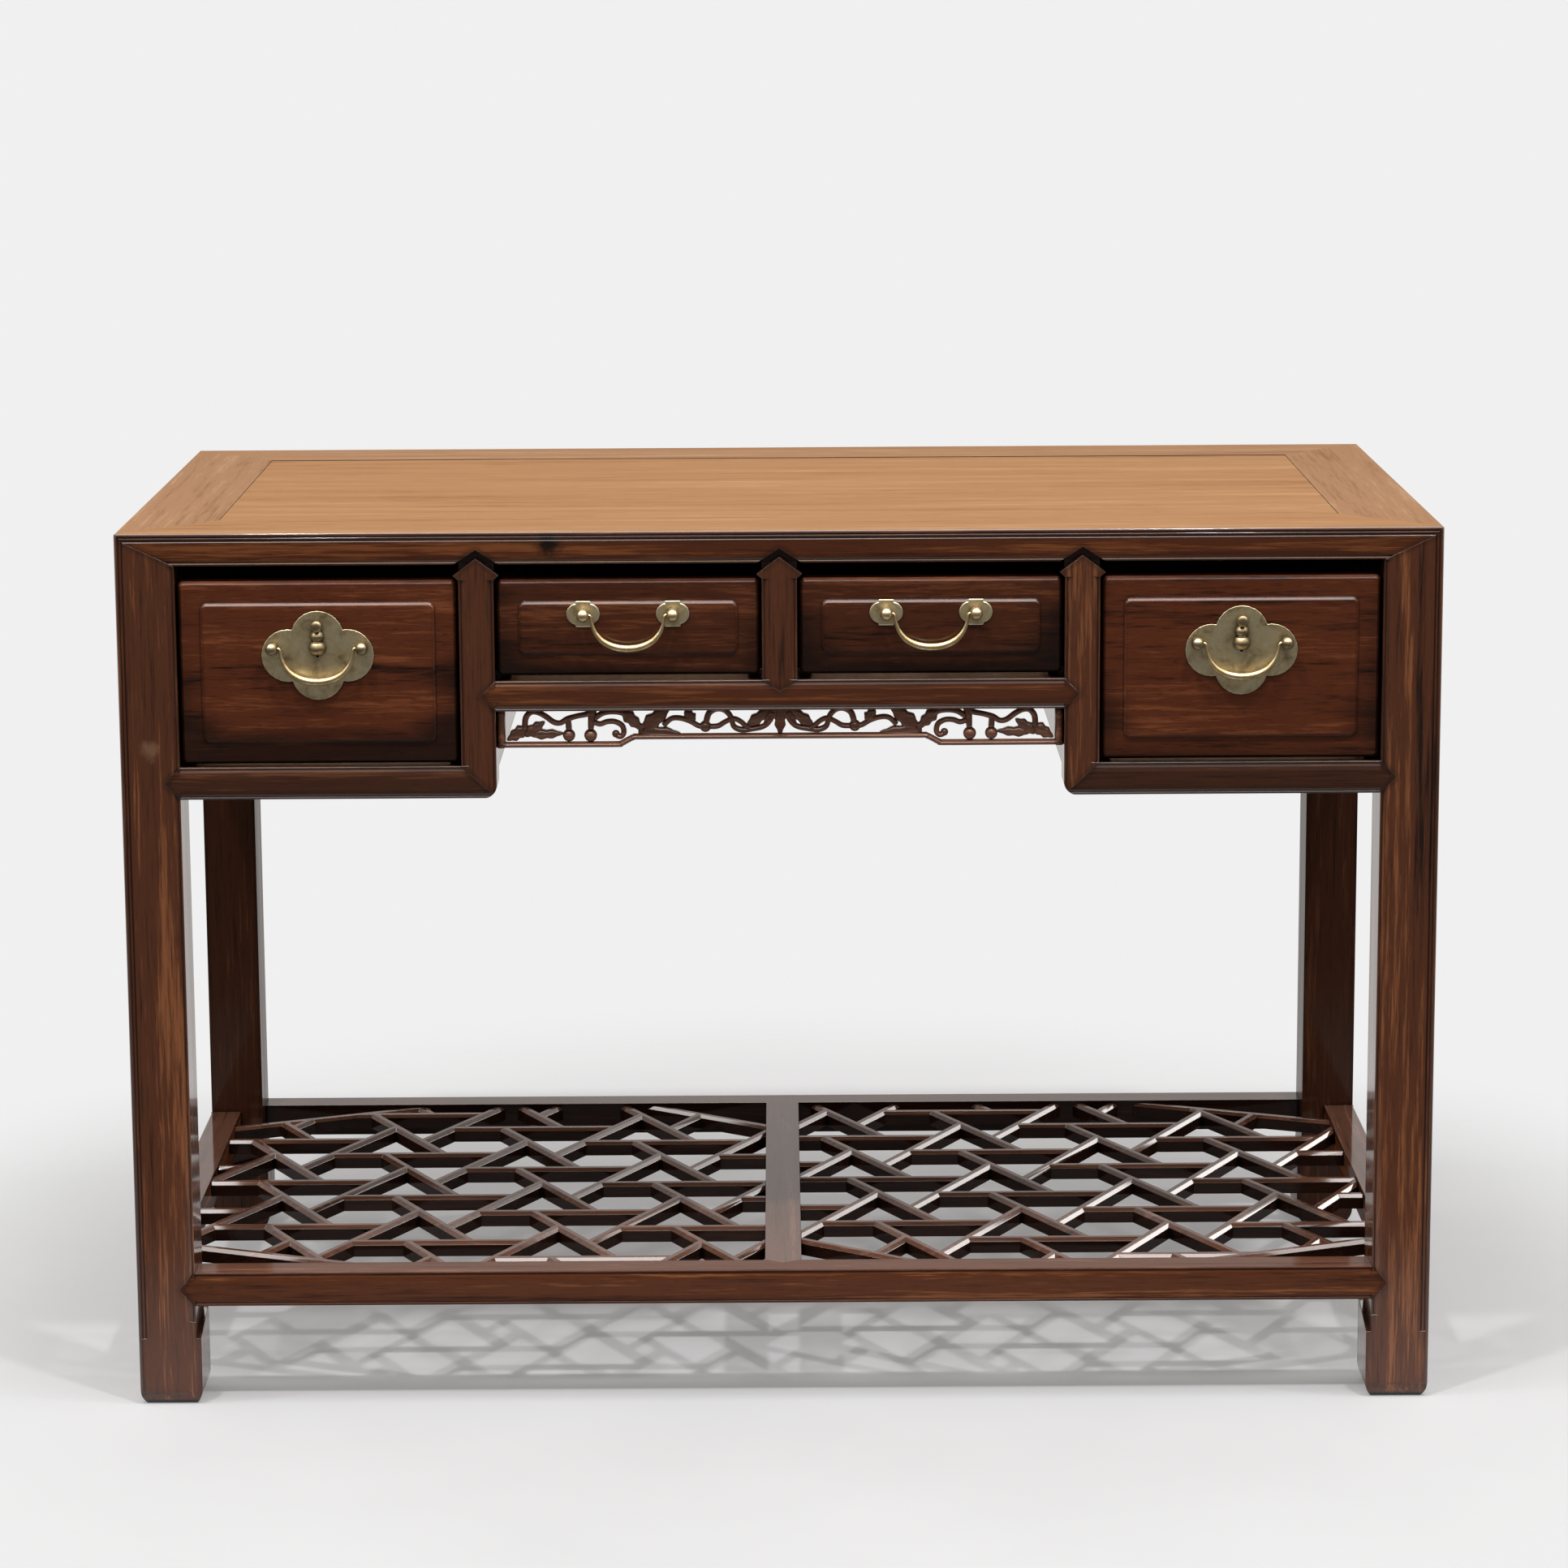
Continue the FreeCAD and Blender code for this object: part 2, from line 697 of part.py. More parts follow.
def centre_stile(name, face):
    """Stile between the shallow drawers, pointed at both ends."""
    half_stile = size.stile_width / 2
    mitre_layer, core_layer, tenon_layer = grid_layers(face)
    foot = [(-half_stile, centre_floor), (0, centre_floor - size.stile_foot_reach), (half_stile, centre_floor)]
    core = [(-half_stile, centre_floor), (half_stile, centre_floor), (half_stile, frame_under),
            (-half_stile, frame_under)]
    stile = fuse(name,
                 prism(f"{name}_face", "XZ", foot + stile_head(0), mitre_layer),
                 prism(f"{name}_core", "XZ", core, core_layer),
                 box(f"{name}_tenon", (-half_stile / 2, half_stile / 2), tenon_layer,
                     (centre_floor - size.tenon_length, frame_under + size.tenon_length)))
    run = (centre_floor, stile_head(0)[0][1])
    return bead_stile(stile, name, 0, run, run, face)


def centre_rail(name, face):
    run = (-stile_inside, stile_inside)
    height = (centre_under, centre_floor)
    rail = mitred_rail(name, "XZ", run, height, *grid_layers(face))
    return bead_rail(rail, name, "YZ", height, depth_at(face, 0), -face, run)


def grid(face):
    """Stiles and rails of the front or the back, each seated in its neighbours."""
    name = "front" if face == FRONT else "back"
    members = types.SimpleNamespace(stiles={}, rails={}, notches=[])
    rail = centre_rail(f"{name}_centre_rail", face)
    members.middle = centre_stile(f"{name}_centre_stile", face) if face == FRONT else None
    for word, side in SIDES.items():
        corner = pedestal_corner(f"{name}_{word}_corner", side, face)
        stile = pedestal_stile(f"{name}_{word}_stile", side, face)
        members.stiles[side] = cut(stile, corner, rail)
        members.rails[side] = cut(pedestal_rail(f"{name}_{word}_rail", side, face), corner)
        middle = (stile_outside + stile_inside) / 2 * side
        members.notches.append(stile_notch(f"{name}_{word}_notch", middle, face))
    if face == FRONT:
        members.notches.append(stile_notch("front_centre_notch", 0, face))
        rail = cut(rail, members.middle)
    members.centre = rail
    return members


# Boards that close the sides, the back and the pedestals
def housed_board(name, plane, run, height, recess_limits):
    """A thin board with a tongue of the same thickness let into what surrounds it."""
    tongue = size.board_tongue
    run = (run[0] - tongue, run[1] + tongue)
    height = (height[0] - tongue, height[1] + tongue)
    if plane == "YZ":
        return box(name, recess_limits, run, height)
    return box(name, run, recess_limits, height)


def outer_boards():
    """Side boards and back boards, each a little behind the face of the frame around it."""
    recess = (size.board_recess, size.board_recess + size.board_thickness)
    sides = {}
    for word, side in SIDES.items():
        limits = across(side, half_width - recess[1], half_width - recess[0])
        sides[side] = housed_board(f"{word}_side_board", "YZ", (front + size.leg_width, back - size.leg_width),
                                   (pedestal_floor, frame_under), limits)
    limits = inward(BACK, *recess)
    backs = {side: housed_board(f"back_board_{word}", "XZ", across(side, stile_outside, leg_inside),
                                (pedestal_floor, frame_under), limits)
             for word, side in SIDES.items()}
    middle = housed_board("back_board_centre", "XZ", (-stile_inside, stile_inside),
                          (centre_floor, frame_under), limits)
    return sides, backs, middle


def cheek(name, side):
    """Board between a pedestal and the knee space, from the front stile to the back stile."""
    middle = stile_inside + size.board_recess
    limits = across(side, middle - size.board_thickness / 2, middle + size.board_thickness / 2)
    run = (front + size.grid_depth - size.board_tongue, back - size.grid_depth + size.board_tongue)
    return box(name, limits, run, (pedestal_under + size.pedestal_corner_radius, frame_under))


def pedestal_runners():
    """Two bearers under each deep drawer, one on the side rail and one on the cheek."""
    runners = []
    level = pedestal_floor + size.deep_drawer_gap - size.slide_clearance
    run = (front + size.grid_depth, back - size.grid_depth)
    for side in SIDES.values():
        cheek_face = stile_inside + size.board_recess + size.board_thickness / 2
        near = across(side, cheek_face, stile_outside + size.runner_width / 2)
        runners.append(box("inner_runner", near, run, (level - size.runner_height, level)))
        far = across(side, leg_inside - size.runner_width / 2, leg_inside)
        runners.append(box("outer_runner", far, run, (level - size.runner_height, level)))
    return group("pedestal_runner_set", *runners)


def centre_runners():
    """Bearers under the shallow drawers, the middle one with a guide between them."""
    level = centre_floor + size.shallow_drawer_gap - size.slide_clearance
    run = (front + size.grid_depth, back - size.grid_depth)
    height = (level - size.runner_height, level)
    half_runner = size.stile_width / 2 + size.runner_width / 2
    half_guide = size.guide_width / 2
    cheek_face = stile_inside + size.board_recess - size.board_thickness / 2
    runners = [box("side_runner", across(side, stile_inside - size.runner_width / 2, cheek_face), run, height)
               for side in SIDES.values()]
    bearer = box("middle_bearer", (-half_runner, half_runner), run, height)
    guide = box("middle_guide", (-half_guide, half_guide), run, (height[0], level + size.guide_height))
    return group("centre_runner_set", fuse("middle_runner", bearer, guide), *runners)


# Apron
# The carved vine, drawn for one half of an apron of this length and height: distances from the middle of the
# desk and below the centre rail.
VINE_LENGTH = 258
VINE_HEIGHT = 36
VINE_STEMS = (
    ((235, 22), (237, 12), (234, 5), (227, 2), (219, 6), (210, 14), (201, 14), (194, 9), (180, 7), (172, 2)),
    ((196, 10), (196, 21)),
    ((174, 2), (175, 21)),
    ((175, 12), (165, 16), (156, 13), (148, 16), (146, 22), (149, 27)),
    ((172, 8), (161, 4), (150, 4), (141, 9), (137, 16), (126, 18)),
    ((126, 18), (116, 10), (108, 2)),
    ((109, 19), (101, 12), (92, 11), (81, 16), (71, 20), (63, 20), (54, 16), (46, 13), (39, 14), (33, 19),
     (23, 20), (13, 14)),
    ((70, 17), (67, 9), (61, 3), (53, 3), (49, 9), (46, 17), (42, 23), (34, 24)),
)
# Leaves: root, tip and width. A leaf is widest at its belly and narrower at its shoulder.
LEAF_BELLY = 0.35
LEAF_SHOULDER = 0.7
SHOULDER_WIDTH = 0.8
VINE_LEAVES = (
    ((234, 20), (252, 28), 10), ((235, 19), (219, 26), 9), ((222, 24), (203, 21), 7),
    ((224, 23), (222, 11), 7),
    ((141, 8), (129, 20), 9), ((128, 17), (107, 4), 9), ((130, 19), (96, 24), 10), ((93, 12), (84, 7), 8),
    ((13, 15), (34, 4), 9), ((9, 5), (13, 24), 10),
)
# Fruits: middle and radius.
VINE_FRUITS = ((196, 25, 5.4), (176, 25, 5.8), (152, 25, 3), (71, 19, 5))
FRUIT_SIDES = 10


def ribbon(spots, width):
    """Outline of a stem of even width along a chain of points."""
    left, right = [], []
    for index, spot in enumerate(spots):
        along = (spots[min(index + 1, len(spots) - 1)] - spots[max(index - 1, 0)]).normalize()
        sideways = FreeCAD.Vector(-along.z, 0, along.x) * (width / 2)
        left.append(spot + sideways)
        right.append(spot - sideways)
    return left + right[::-1]


def leaf_outline(root, tip, width):
    along = tip - root
    sideways = FreeCAD.Vector(-along.z, 0, along.x).normalize() * (width / 2)
    belly, shoulder = root + along * LEAF_BELLY, root + along * LEAF_SHOULDER
    narrowed = sideways * SHOULDER_WIDTH
    return [root, belly + sideways, shoulder + narrowed, tip, shoulder - narrowed, belly - sideways]


def fruit_outline(middle, radius):
    turns = [2 * math.pi * index / FRUIT_SIDES for index in range(FRUIT_SIDES)]
    return [middle + FreeCAD.Vector(radius * math.cos(turn), 0, radius * math.sin(turn)) for turn in turns]


def vine():
    """Stems, leaves and fruits of both halves of the apron, grown together."""
    stretch = stile_inside.number / VINE_LENGTH
    drop = size.apron_height.number / VINE_HEIGHT
    thickness = FreeCAD.Vector(0, (size.apron_thickness - size.vine_setback * 2).number, 0)
    face_y = (front + size.apron_setback + size.vine_setback).number

    def spot(side, away, below):
        return FreeCAD.Vector(away * stretch * side, face_y, centre_under.number - below * drop)

    outlines = []
    for side in SIDES.values():
        outlines += [ribbon([spot(side, *point) for point in stem], size.stem_width.number)
                     for stem in VINE_STEMS]
        outlines += [leaf_outline(spot(side, *root), spot(side, *tip), width)
                     for root, tip, width in VINE_LEAVES]
        outlines += [fruit_outline(spot(side, *middle), radius) for *middle, radius in VINE_FRUITS]
    solids = [Part.Face(Part.makePolygon(outline + outline[:1])).extrude(thickness) for outline in outlines]
    carving = doc.addObject("Part::Feature", "apron_vine")
    carving.Shape = solids[0].fuse(solids[1:]).removeSplitter()
    return carving


def apron():
    """Openwork board under the centre rail; its lower edge steps up towards the middle."""
    low = centre_under - size.apron_height
    high = low + size.apron_rise
    step = size.apron_step_place
    slope = size.apron_rise
    limits = inward(FRONT, size.apron_setback, size.apron_setback + size.apron_thickness)
    outline = [(-stile_inside, low), (-step - slope, low), (-step, high), (step, high), (step + slope, low),
               (stile_inside, low), (stile_inside, centre_under), (-stile_inside, centre_under)]
    rim = size.apron_rim
    post = stile_inside - size.apron_post
    window = [(-post, low + rim), (-step - slope, low + rim), (-step, high + rim), (step, high + rim),
              (step + slope, low + rim), (post, low + rim), (post, centre_under - rim / 2),
              (-post, centre_under - rim / 2)]
    rim_frame = cut(prism("apron_board", "XZ", outline, limits), prism("apron_window", "XZ", window, limits))
    whole = fuse("apron_carved", rim_frame, vine())
    return common("apron_trimmed", whole, prism("apron_outline", "XZ", outline, limits))


# Foot shelf
def shelf_rails():
    height = (shelf_under, shelf_top)
    tenon = (size.mitre_depth, size.mitre_depth + size.tenon_thickness)
    rails = {}
    run = (-leg_inside, leg_inside)
    for word, face in FACES.items():
        rail = mitred_rail(f"shelf_{word}", "XZ", run, height, inward(face, 0, size.mitre_depth),
                           inward(face, size.mitre_depth, size.shelf_rail_width), inward(face, *tenon))
        rails[word] = bead_rail(rail, f"shelf_{word}", "YZ", height, depth_at(face, 0), -face, run)
    run = (front + size.leg_width, back - size.leg_width)
    for word, side in SIDES.items():
        limits = [across(side, half_width - far, half_width - near)
                  for near, far in ((0, size.mitre_depth), (size.mitre_depth, size.shelf_rail_width), tenon)]
        rail = mitred_rail(f"shelf_{word}", "YZ", run, height, *limits)
        rails[word] = bead_rail(rail, f"shelf_{word}", "XZ", height, half_width * side, -side, run)
    return rails


def shelf_middle_rail():
    """Cross rail of the shelf, pointed at both ends where it shows on top."""
    half_rail = size.shelf_middle_width / 2
    start, end = front + size.shelf_rail_width, back - size.shelf_rail_width
    tips = [(-half_rail, start), (0, start - size.shelf_middle_reach), (half_rail, start), (half_rail, end),
            (0, end + size.shelf_middle_reach), (-half_rail, end)]
    return fuse("shelf_middle",
                prism("shelf_middle_tips", "XY", tips, (shelf_top - size.shelf_middle_tip_height, shelf_top)),
                box("shelf_middle_core", (-half_rail, half_rail), (start, end),
                    (shelf_top - size.shelf_middle_height, shelf_top)))


def turned(point, degrees):
    return FreeCAD.Rotation(FreeCAD.Vector(0, 0, 1), degrees).multVec(point)


def ridged_bar(start, end):
    """A lattice bar along a line on the shelf, with both upper edges planed off."""
    half_bar = size.bar_width.number / 2
    half_flat = size.bar_flat.number / 2
    ridge = (shelf_top - size.bar_drop).number
    shoulder = ridge - size.bar_ridge.number
    bottom = ridge - size.bar_height.number
    section = [(-half_bar, bottom), (half_bar, bottom), (half_bar, shoulder), (half_flat, ridge),
               (-half_flat, ridge), (-half_bar, shoulder)]
    along = (end - start).normalize()
    sideways = turned(along, 90)
    corners = [start + sideways * offset + FreeCAD.Vector(0, 0, height) for offset, height in section]
    return Part.Face(Part.makePolygon(corners + corners[:1])).extrude(end - start)


def lattice_bars(middle, reach):
    """Centre lines of hexagons that share bars with the triangles between them.

    Every bar runs along one side of a hexagon and on past the next triangle, and ends on another bar.
    """
    side = size.hexagon_side.number
    length = 2 * side + size.hexagon_spacing.number
    step = FreeCAD.Vector(side + size.hexagon_spacing.number, side * math.sqrt(3), 0)
    other_step = turned(step, -60)
    corner = FreeCAD.Vector(-side / 2, side * math.sqrt(3) / 2, 0)
    count = int(reach / side) + 1
    for row in range(-count, count + 1):
        for column in range(-count, count + 1):
            hexagon = middle + step * row + other_step * column
            if (hexagon - middle).Length > reach + length:
                continue
            for turn in (0, 120, 240):
                start = hexagon + turned(corner, turn)
                yield start, start + turned(FreeCAD.Vector(length, 0, 0), turn), turn


def corner_braces(side, near, far, depth):
    """Start, end and cut-off corner of the bars across three corners of one half of the shelf."""
    run, rise = size.outer_brace_run.number, size.outer_brace_rise.number
    corners = [(far * side, depth * face, -run * side, -rise * face) for face in FACES.values()]
    # The inner one is at the back on the left and at the front on the right.
    run, rise = size.inner_brace_run.number, size.inner_brace_rise.number
    corners.append((near * side, -depth * side, run * side, rise * side))
    for x, y, along_x, along_y in corners:
        yield (x, y + along_y), (x + along_x, y), (x, y)


def lattice(name, side):
    """Bars of one half of the shelf, coped where they meet and cut square at the rails."""
    near = (size.shelf_middle_width / 2).number
    far = (half_width - size.shelf_rail_width).number
    depth = (back - size.shelf_rail_width).number
    low = (shelf_top - size.bar_drop - size.bar_height).number
    upright = FreeCAD.Vector(0, 0, size.bar_height.number)
    middle = FreeCAD.Vector((near + far) / 2 * side, 0, 0)
    opening = Part.makeBox(far - near, 2 * depth, size.bar_height.number,
                           FreeCAD.Vector(near if side == RIGHT else -far, -depth, low))
    inside = opening
    braces = []
    for brace in corner_braces(side, near, far, depth):
        start, end, corner = [FreeCAD.Vector(x, y, 0) for x, y in brace]
        overrun = (end - start).normalize() * size.bar_width.number
        braces.append(ridged_bar(start - overrun, end + overrun).common(opening))
        level = FreeCAD.Vector(0, 0, low)
        outline = Part.makePolygon([spot + level for spot in (start, end, corner, start)])
        inside = inside.cut(Part.Face(outline).extrude(upright))
    reach = math.hypot(far - near, 2 * depth) / 2
    long = 4 * size.hexagon_side.number
    bars = list(braces)
    for start, end, turn in lattice_bars(middle, reach):
        bar = ridged_bar(start, end)
        if not bar.BoundBox.intersect(opening.BoundBox):
            continue
        across_end = turned(FreeCAD.Vector(long, 0, 0), turn + 60)
        for point in (start, end):
            bar = bar.cut(ridged_bar(point - across_end, point + across_end))
        for brace in braces:
            bar = bar.cut(brace)
        bars += [solid for solid in bar.common(inside).Solids if solid.Volume > size.bar_width.number ** 3]
    panel = doc.addObject("Part::Feature", name)
    panel.Shape = Part.makeCompound([solid for bar in bars for solid in bar.Solids])
    return panel


# Drawers
def rounded_front(name, x, z, face_y):
    """Drawer front with a raised field, both with rounded corners and eased edges."""
    body = doc.addObject("PartDesign::Body", name)
    bind(body, {"Placement.Base.y": face_y + size.front_thickness})
    margin = size.field_margin
    field_x = (x[0] + margin, x[1] - margin)
    field_z = (z[0] + margin, z[1] - margin)
    heights = {"board": size.front_thickness, "field": size.front_thickness + size.field_rise}
    outlines = {"board": rounded_box(x, z, size.front_corner),
                "field": rounded_box(field_x, field_z, size.field_corner)}
    for part, (points, arcs) in outlines.items():
        sketch = sketch_on(body, f"{name}_{part}", "XZ")
        draw(sketch, points, arcs)
        pad = body.newObject("PartDesign::Pad", f"{name}_{part}_pad")
        pad.Profile = sketch
        bind(pad, {"Length": heights[part]})
    doc.recompute()
    ease_front_edges(body, heights["field"], size.field_chamfer)
    ease_front_edges(body, heights["board"], size.front_chamfer)
    return body


def ease_front_edges(body, height, width):
    """Chamfers the outer edges of the face that lies at one height above the back of a drawer front."""
    base = body.Tip
    level = -number_of(height)
    touch = 0.01
    flat = next(face for face in base.Shape.Faces
                if max(abs(face.BoundBox.YMin - level), abs(face.BoundBox.YMax - level)) < touch)
    rim = flat.OuterWire.Edges
    names = [f"Edge{number}" for number, edge in enumerate(base.Shape.Edges, 1)
             if any(edge.isSame(other) for other in rim)]
    chamfer = body.newObject("PartDesign::Chamfer", f"{base.Name}_eased")
    chamfer.Base = (base, names)
    bind(chamfer, {"Size": width})
    doc.recompute()


def drawer(label, x, floor, height):
    """Front, two sides and a back, and a bottom in a groove. Returns what its fittings sit on."""
    x = (x[0] + size.drawer_side_gap, x[1] - size.drawer_side_gap)
    z = (floor, floor + height)
    face_y = front + size.drawer_recess
    front_back = face_y + size.front_thickness
    end = back - size.grid_depth - size.drawer_back_space
    thick = size.drawer_side_thickness
    side_y = (front_back - size.drawer_joint_depth, end)
    side_z = (z[0], z[1] - size.drawer_side_drop)
    bottom_z = (z[0] + size.drawer_bottom_rise, z[0] + size.drawer_bottom_rise + size.drawer_bottom_thickness)
    inside = (x[0] + thick, x[1] - thick)
    tongue = size.drawer_bottom_tongue
    bottom = box(f"{label}_bottom_board", (inside[0] - tongue, inside[1] + tongue),
                 (front_back - tongue, end), bottom_z)
    sides = [box(f"{label}_side", limits, side_y, side_z) for limits in ((x[0], inside[0]), (inside[1], x[1]))]
    rear = box(f"{label}_back", inside, (end - thick, end), (bottom_z[1], side_z[1]))
    board = rounded_front(f"{label}_front_board", x, z, face_y)
    node(f"{label}_bottom", bottom)
    node(f"{label}_sides", group(f"{label}_case", *[cut(side, bottom) for side in sides], rear))
    return types.SimpleNamespace(label=label, board=cut(board, bottom, *sides), middle=(x[0] + x[1]) / 2,
                                 centre=(z[0] + z[1]) / 2, face=face_y - size.field_rise, back=front_back)


# Brass fittings
def skin(rings):
    """A solid with flat faces over rings of corners that match, closed by its first and last ring."""
    faces = [Part.Face(Part.makePolygon(ring + ring[:1])) for ring in (rings[0], rings[-1])]
    for ring, following in zip(rings, rings[1:]):
        for index, corner in enumerate(ring):
            beside = (index + 1) % len(ring)
            opposite = following[beside]
            for rest in ((ring[beside], opposite), (opposite, following[index])):
                faces.append(Part.Face(Part.makePolygon([corner, *rest, corner])))
    shell = Part.makeShell(faces)
    shell.sewShape()
    solid = Part.makeSolid(shell)
    if solid.Volume < 0:
        solid.reverse()
    return solid.removeSplitter()


def lathe(name, profile, spot, axis):
    """A turned piece with flats, from a chain of radius and height, on an axis along Y or Z."""
    turns = [2 * math.pi * (index + 0.5) / TURNED_SIDES for index in range(TURNED_SIDES)]
    rings = []
    for radius, height in profile:
        reach, level = number_of(radius), number_of(height)
        rings.append([FreeCAD.Vector(reach * math.cos(turn), reach * math.sin(turn), level) for turn in turns])
    piece = doc.addObject("Part::Feature", name)
    piece.Shape = skin(rings)
    if axis == "Y":
        piece.Placement.Rotation = FreeCAD.Rotation(FreeCAD.Vector(1, 0, 0), -90)
    place(piece, *spot)
    return piece


def posts(box_of, level):
    """Two ball posts with split shanks bent flat behind a drawer front, bored for the ends of a bail."""
    ball_y = box_of.face - size.plate_thickness - size.post_stand
    ball, stem = size.ball_radius, size.post_stem_radius
    profile = [(ball * FLAT, -ball), (ball, -ball * FLAT), (ball, ball * FLAT),
               (stem, ball * FLAT + ball - stem), (stem, size.post_stand)]
    half_shank = size.post_shank_width / 2
    half_legs = size.post_leg_length / 2
    bore_end = ball - size.bail_pivot_depth
    made = []
    for side in SIDES.values():
        x = box_of.middle + size.post_spacing / 2 * side
        height = (level - half_shank, level + half_shank)
        knob = lathe("post_knob", profile, (x, ball_y, level), "Y")
        shank = box("post_shank", (x - half_shank, x + half_shank),
                    (ball_y + size.post_stand, box_of.back), height)
        legs = box("post_legs", (x - half_legs, x + half_legs),
                   (box_of.back, box_of.back + size.post_leg_thickness), height)
        bore_run = (x - ball * 2, x - bore_end) if side == RIGHT else (x + bore_end, x + ball * 2)
        bore = rod("post_bore", size.bail_pivot_radius + size.pivot_clearance, (bore_run[0], ball_y, level),
                   bore_run[1] - bore_run[0], "X")
        made.append(cut(fuse("post", knob, shank, legs), bore))
    return made, ball_y


def bail_section(centre, along, radius, stretch=1):
    """Corners of an eight-sided section of a bail, square to its run in the XZ plane."""
    sideways = FreeCAD.Vector(-along.z, 0, along.x).normalize() * stretch
    corners = []
    for index in range(8):
        angle = math.radians(45 * index + 22.5)
        corners.append(centre + sideways * (radius * math.cos(angle))
                       + FreeCAD.Vector(0, radius * math.sin(angle), 0))
    return corners


def bail(name, x, y, z):
    """Hanging handle: a half ellipse, thickest at the bottom, with a pivot turned out at each end."""
    half = (size.bail_width / 2).number
    drop = size.bail_drop.number
    thin = size.bail_end_radius.number
    swelling = size.bail_middle_radius.number - thin
    inward_run = FreeCAD.Vector(-1, 0, 0)
    elbow_run = FreeCAD.Vector(-1, 0, -1)
    rise_run = FreeCAD.Vector(-1, 0, 1)
    pivot = size.bail_pivot_radius.number
    tip = (size.post_spacing / 2 - size.ball_radius + size.bail_pivot_depth - size.pivot_clearance).number
    ends = [(tip, pivot), (half + thin, pivot), (half + thin, thin)]
    sections = [bail_section(FreeCAD.Vector(away, 0, 0), inward_run, radius) for away, radius in ends]
    sections.append(bail_section(FreeCAD.Vector(half, 0, 0), elbow_run, thin, math.sqrt(2)))
    for degrees in range(15, 180, 15):
        angle = math.radians(degrees)
        centre = FreeCAD.Vector(half * math.cos(angle), 0, -drop * math.sin(angle))
        along = FreeCAD.Vector(-half * math.sin(angle), 0, -drop * math.cos(angle))
        sections.append(bail_section(centre, along, thin + swelling * math.sin(angle) ** 2))
    sections.append(bail_section(FreeCAD.Vector(-half, 0, 0), rise_run, thin, math.sqrt(2)))
    sections += [bail_section(FreeCAD.Vector(-away, 0, 0), inward_run, radius) for away, radius in ends[::-1]]
    handle = doc.addObject("Part::Feature", name)
    handle.Shape = skin(sections)
    place(handle, x, y, z)
    return handle


def lobed_plate(box_of, level):
    """Four overlapping round lobes."""
    y = box_of.face - size.plate_thickness
    spots = [(box_of.middle + size.lobe_side * side, level) for side in SIDES.values()]
    spots += [(box_of.middle, level + size.lobe_rise * way) for way in (-1, 1)]
    lobes = [rod("plate_lobe", size.lobe_radius, (x, y, z), size.plate_thickness, "Y", LOBE_SIDES)
             for x, z in spots]
    return fuse("lobed_plate", *lobes)


def cloud_plates(box_of, level):
    """A small plate under each post: a lobe left and right, a tab above and below."""
    y = (box_of.face - size.plate_thickness, box_of.face)
    plates = []
    for side in SIDES.values():
        middle = box_of.middle + size.post_spacing / 2 * side
        offset = size.cloud_width / 2 - size.cloud_lobe_radius
        lobes = [rod("cloud_lobe", size.cloud_lobe_radius, (middle + offset * way, y[0], level),
                     size.plate_thickness, "Y", LOBE_SIDES) for way in (-1, 1)]
        half_tab = size.cloud_tab_width / 2
        half_height = size.cloud_tab_height / 2
        tab = box("cloud_tab", (middle - half_tab, middle + half_tab), y,
                  (level - half_height, level + half_height))
        plates.append(fuse("cloud_plate", tab, *lobes))
    return plates


def gourd(name, x, y, z):
    """Half a gourd with a flat back, hung from an eye on its pin."""
    big, small, neck = size.drop_big_radius, size.drop_small_radius, size.drop_neck_radius
    low, waist, shoulder = -size.drop_length, -size.drop_waist_place, -size.drop_neck_length
    big_middle, small_middle = (low + waist) / 2, (waist + shoulder) / 2
    big_flat, small_flat = (waist - low) / 2 * FLAT, (shoulder - waist) / 2 * FLAT
    profile = [(big * FLAT, low), (big, big_middle - big_flat), (big, big_middle + big_flat),
               (neck, waist), (small, small_middle - small_flat), (small, small_middle + small_flat),
               (neck, shoulder), (neck, shoulder / 2)]
    whole = lathe(f"{name}_turning", profile, (x, y, z), "Z")
    body = cut(whole, box(f"{name}_back", (x - big, x + big), (y, y + big), (z + low, z)))
    eye = rod(f"{name}_eye", size.drop_eye_radius, (x, y - size.drop_eye_thickness, z),
              size.drop_eye_thickness, "Y")
    hole = rod(f"{name}_hole", size.drop_pin_radius + size.pivot_clearance, (x, y - big, z), big, "Y")
    return cut(fuse(f"{name}_whole", body, eye), hole)


def drop_pin(box_of, z):
    """Pin that a gourd hangs on: driven through the plate as far as the lock, with a round knob."""
    eye_front = box_of.face - size.plate_thickness - size.drop_gap - size.drop_eye_thickness
    knob_back = eye_front - size.drop_gap
    knob, tall, shank = size.drop_knob_radius, size.drop_knob_height, size.drop_pin_radius
    end = box_of.back - size.lock_depth - knob_back
    head = lathe("drop_pin_head", [(knob * FLAT, -tall), (knob, -tall + knob - knob * FLAT), (knob, 0)],
                 (box_of.middle, knob_back, z), "Y")
    return fuse("drop_pin", head, rod("drop_pin_shank", shank, (box_of.middle, knob_back, z), end, "Y"))


def keyhole(box_of, z):
    y = box_of.face - size.plate_thickness
    depth = box_of.back - y
    hole = rod("keyhole_round", size.keyhole_radius, (box_of.middle, y, z), depth, "Y")
    half_slot = size.keyhole_slot_width / 2
    slot = box("keyhole_slot", (box_of.middle - half_slot, box_of.middle + half_slot), (y, y + depth),
               (z - size.keyhole_slot_height, z))
    return fuse("keyhole", hole, slot)


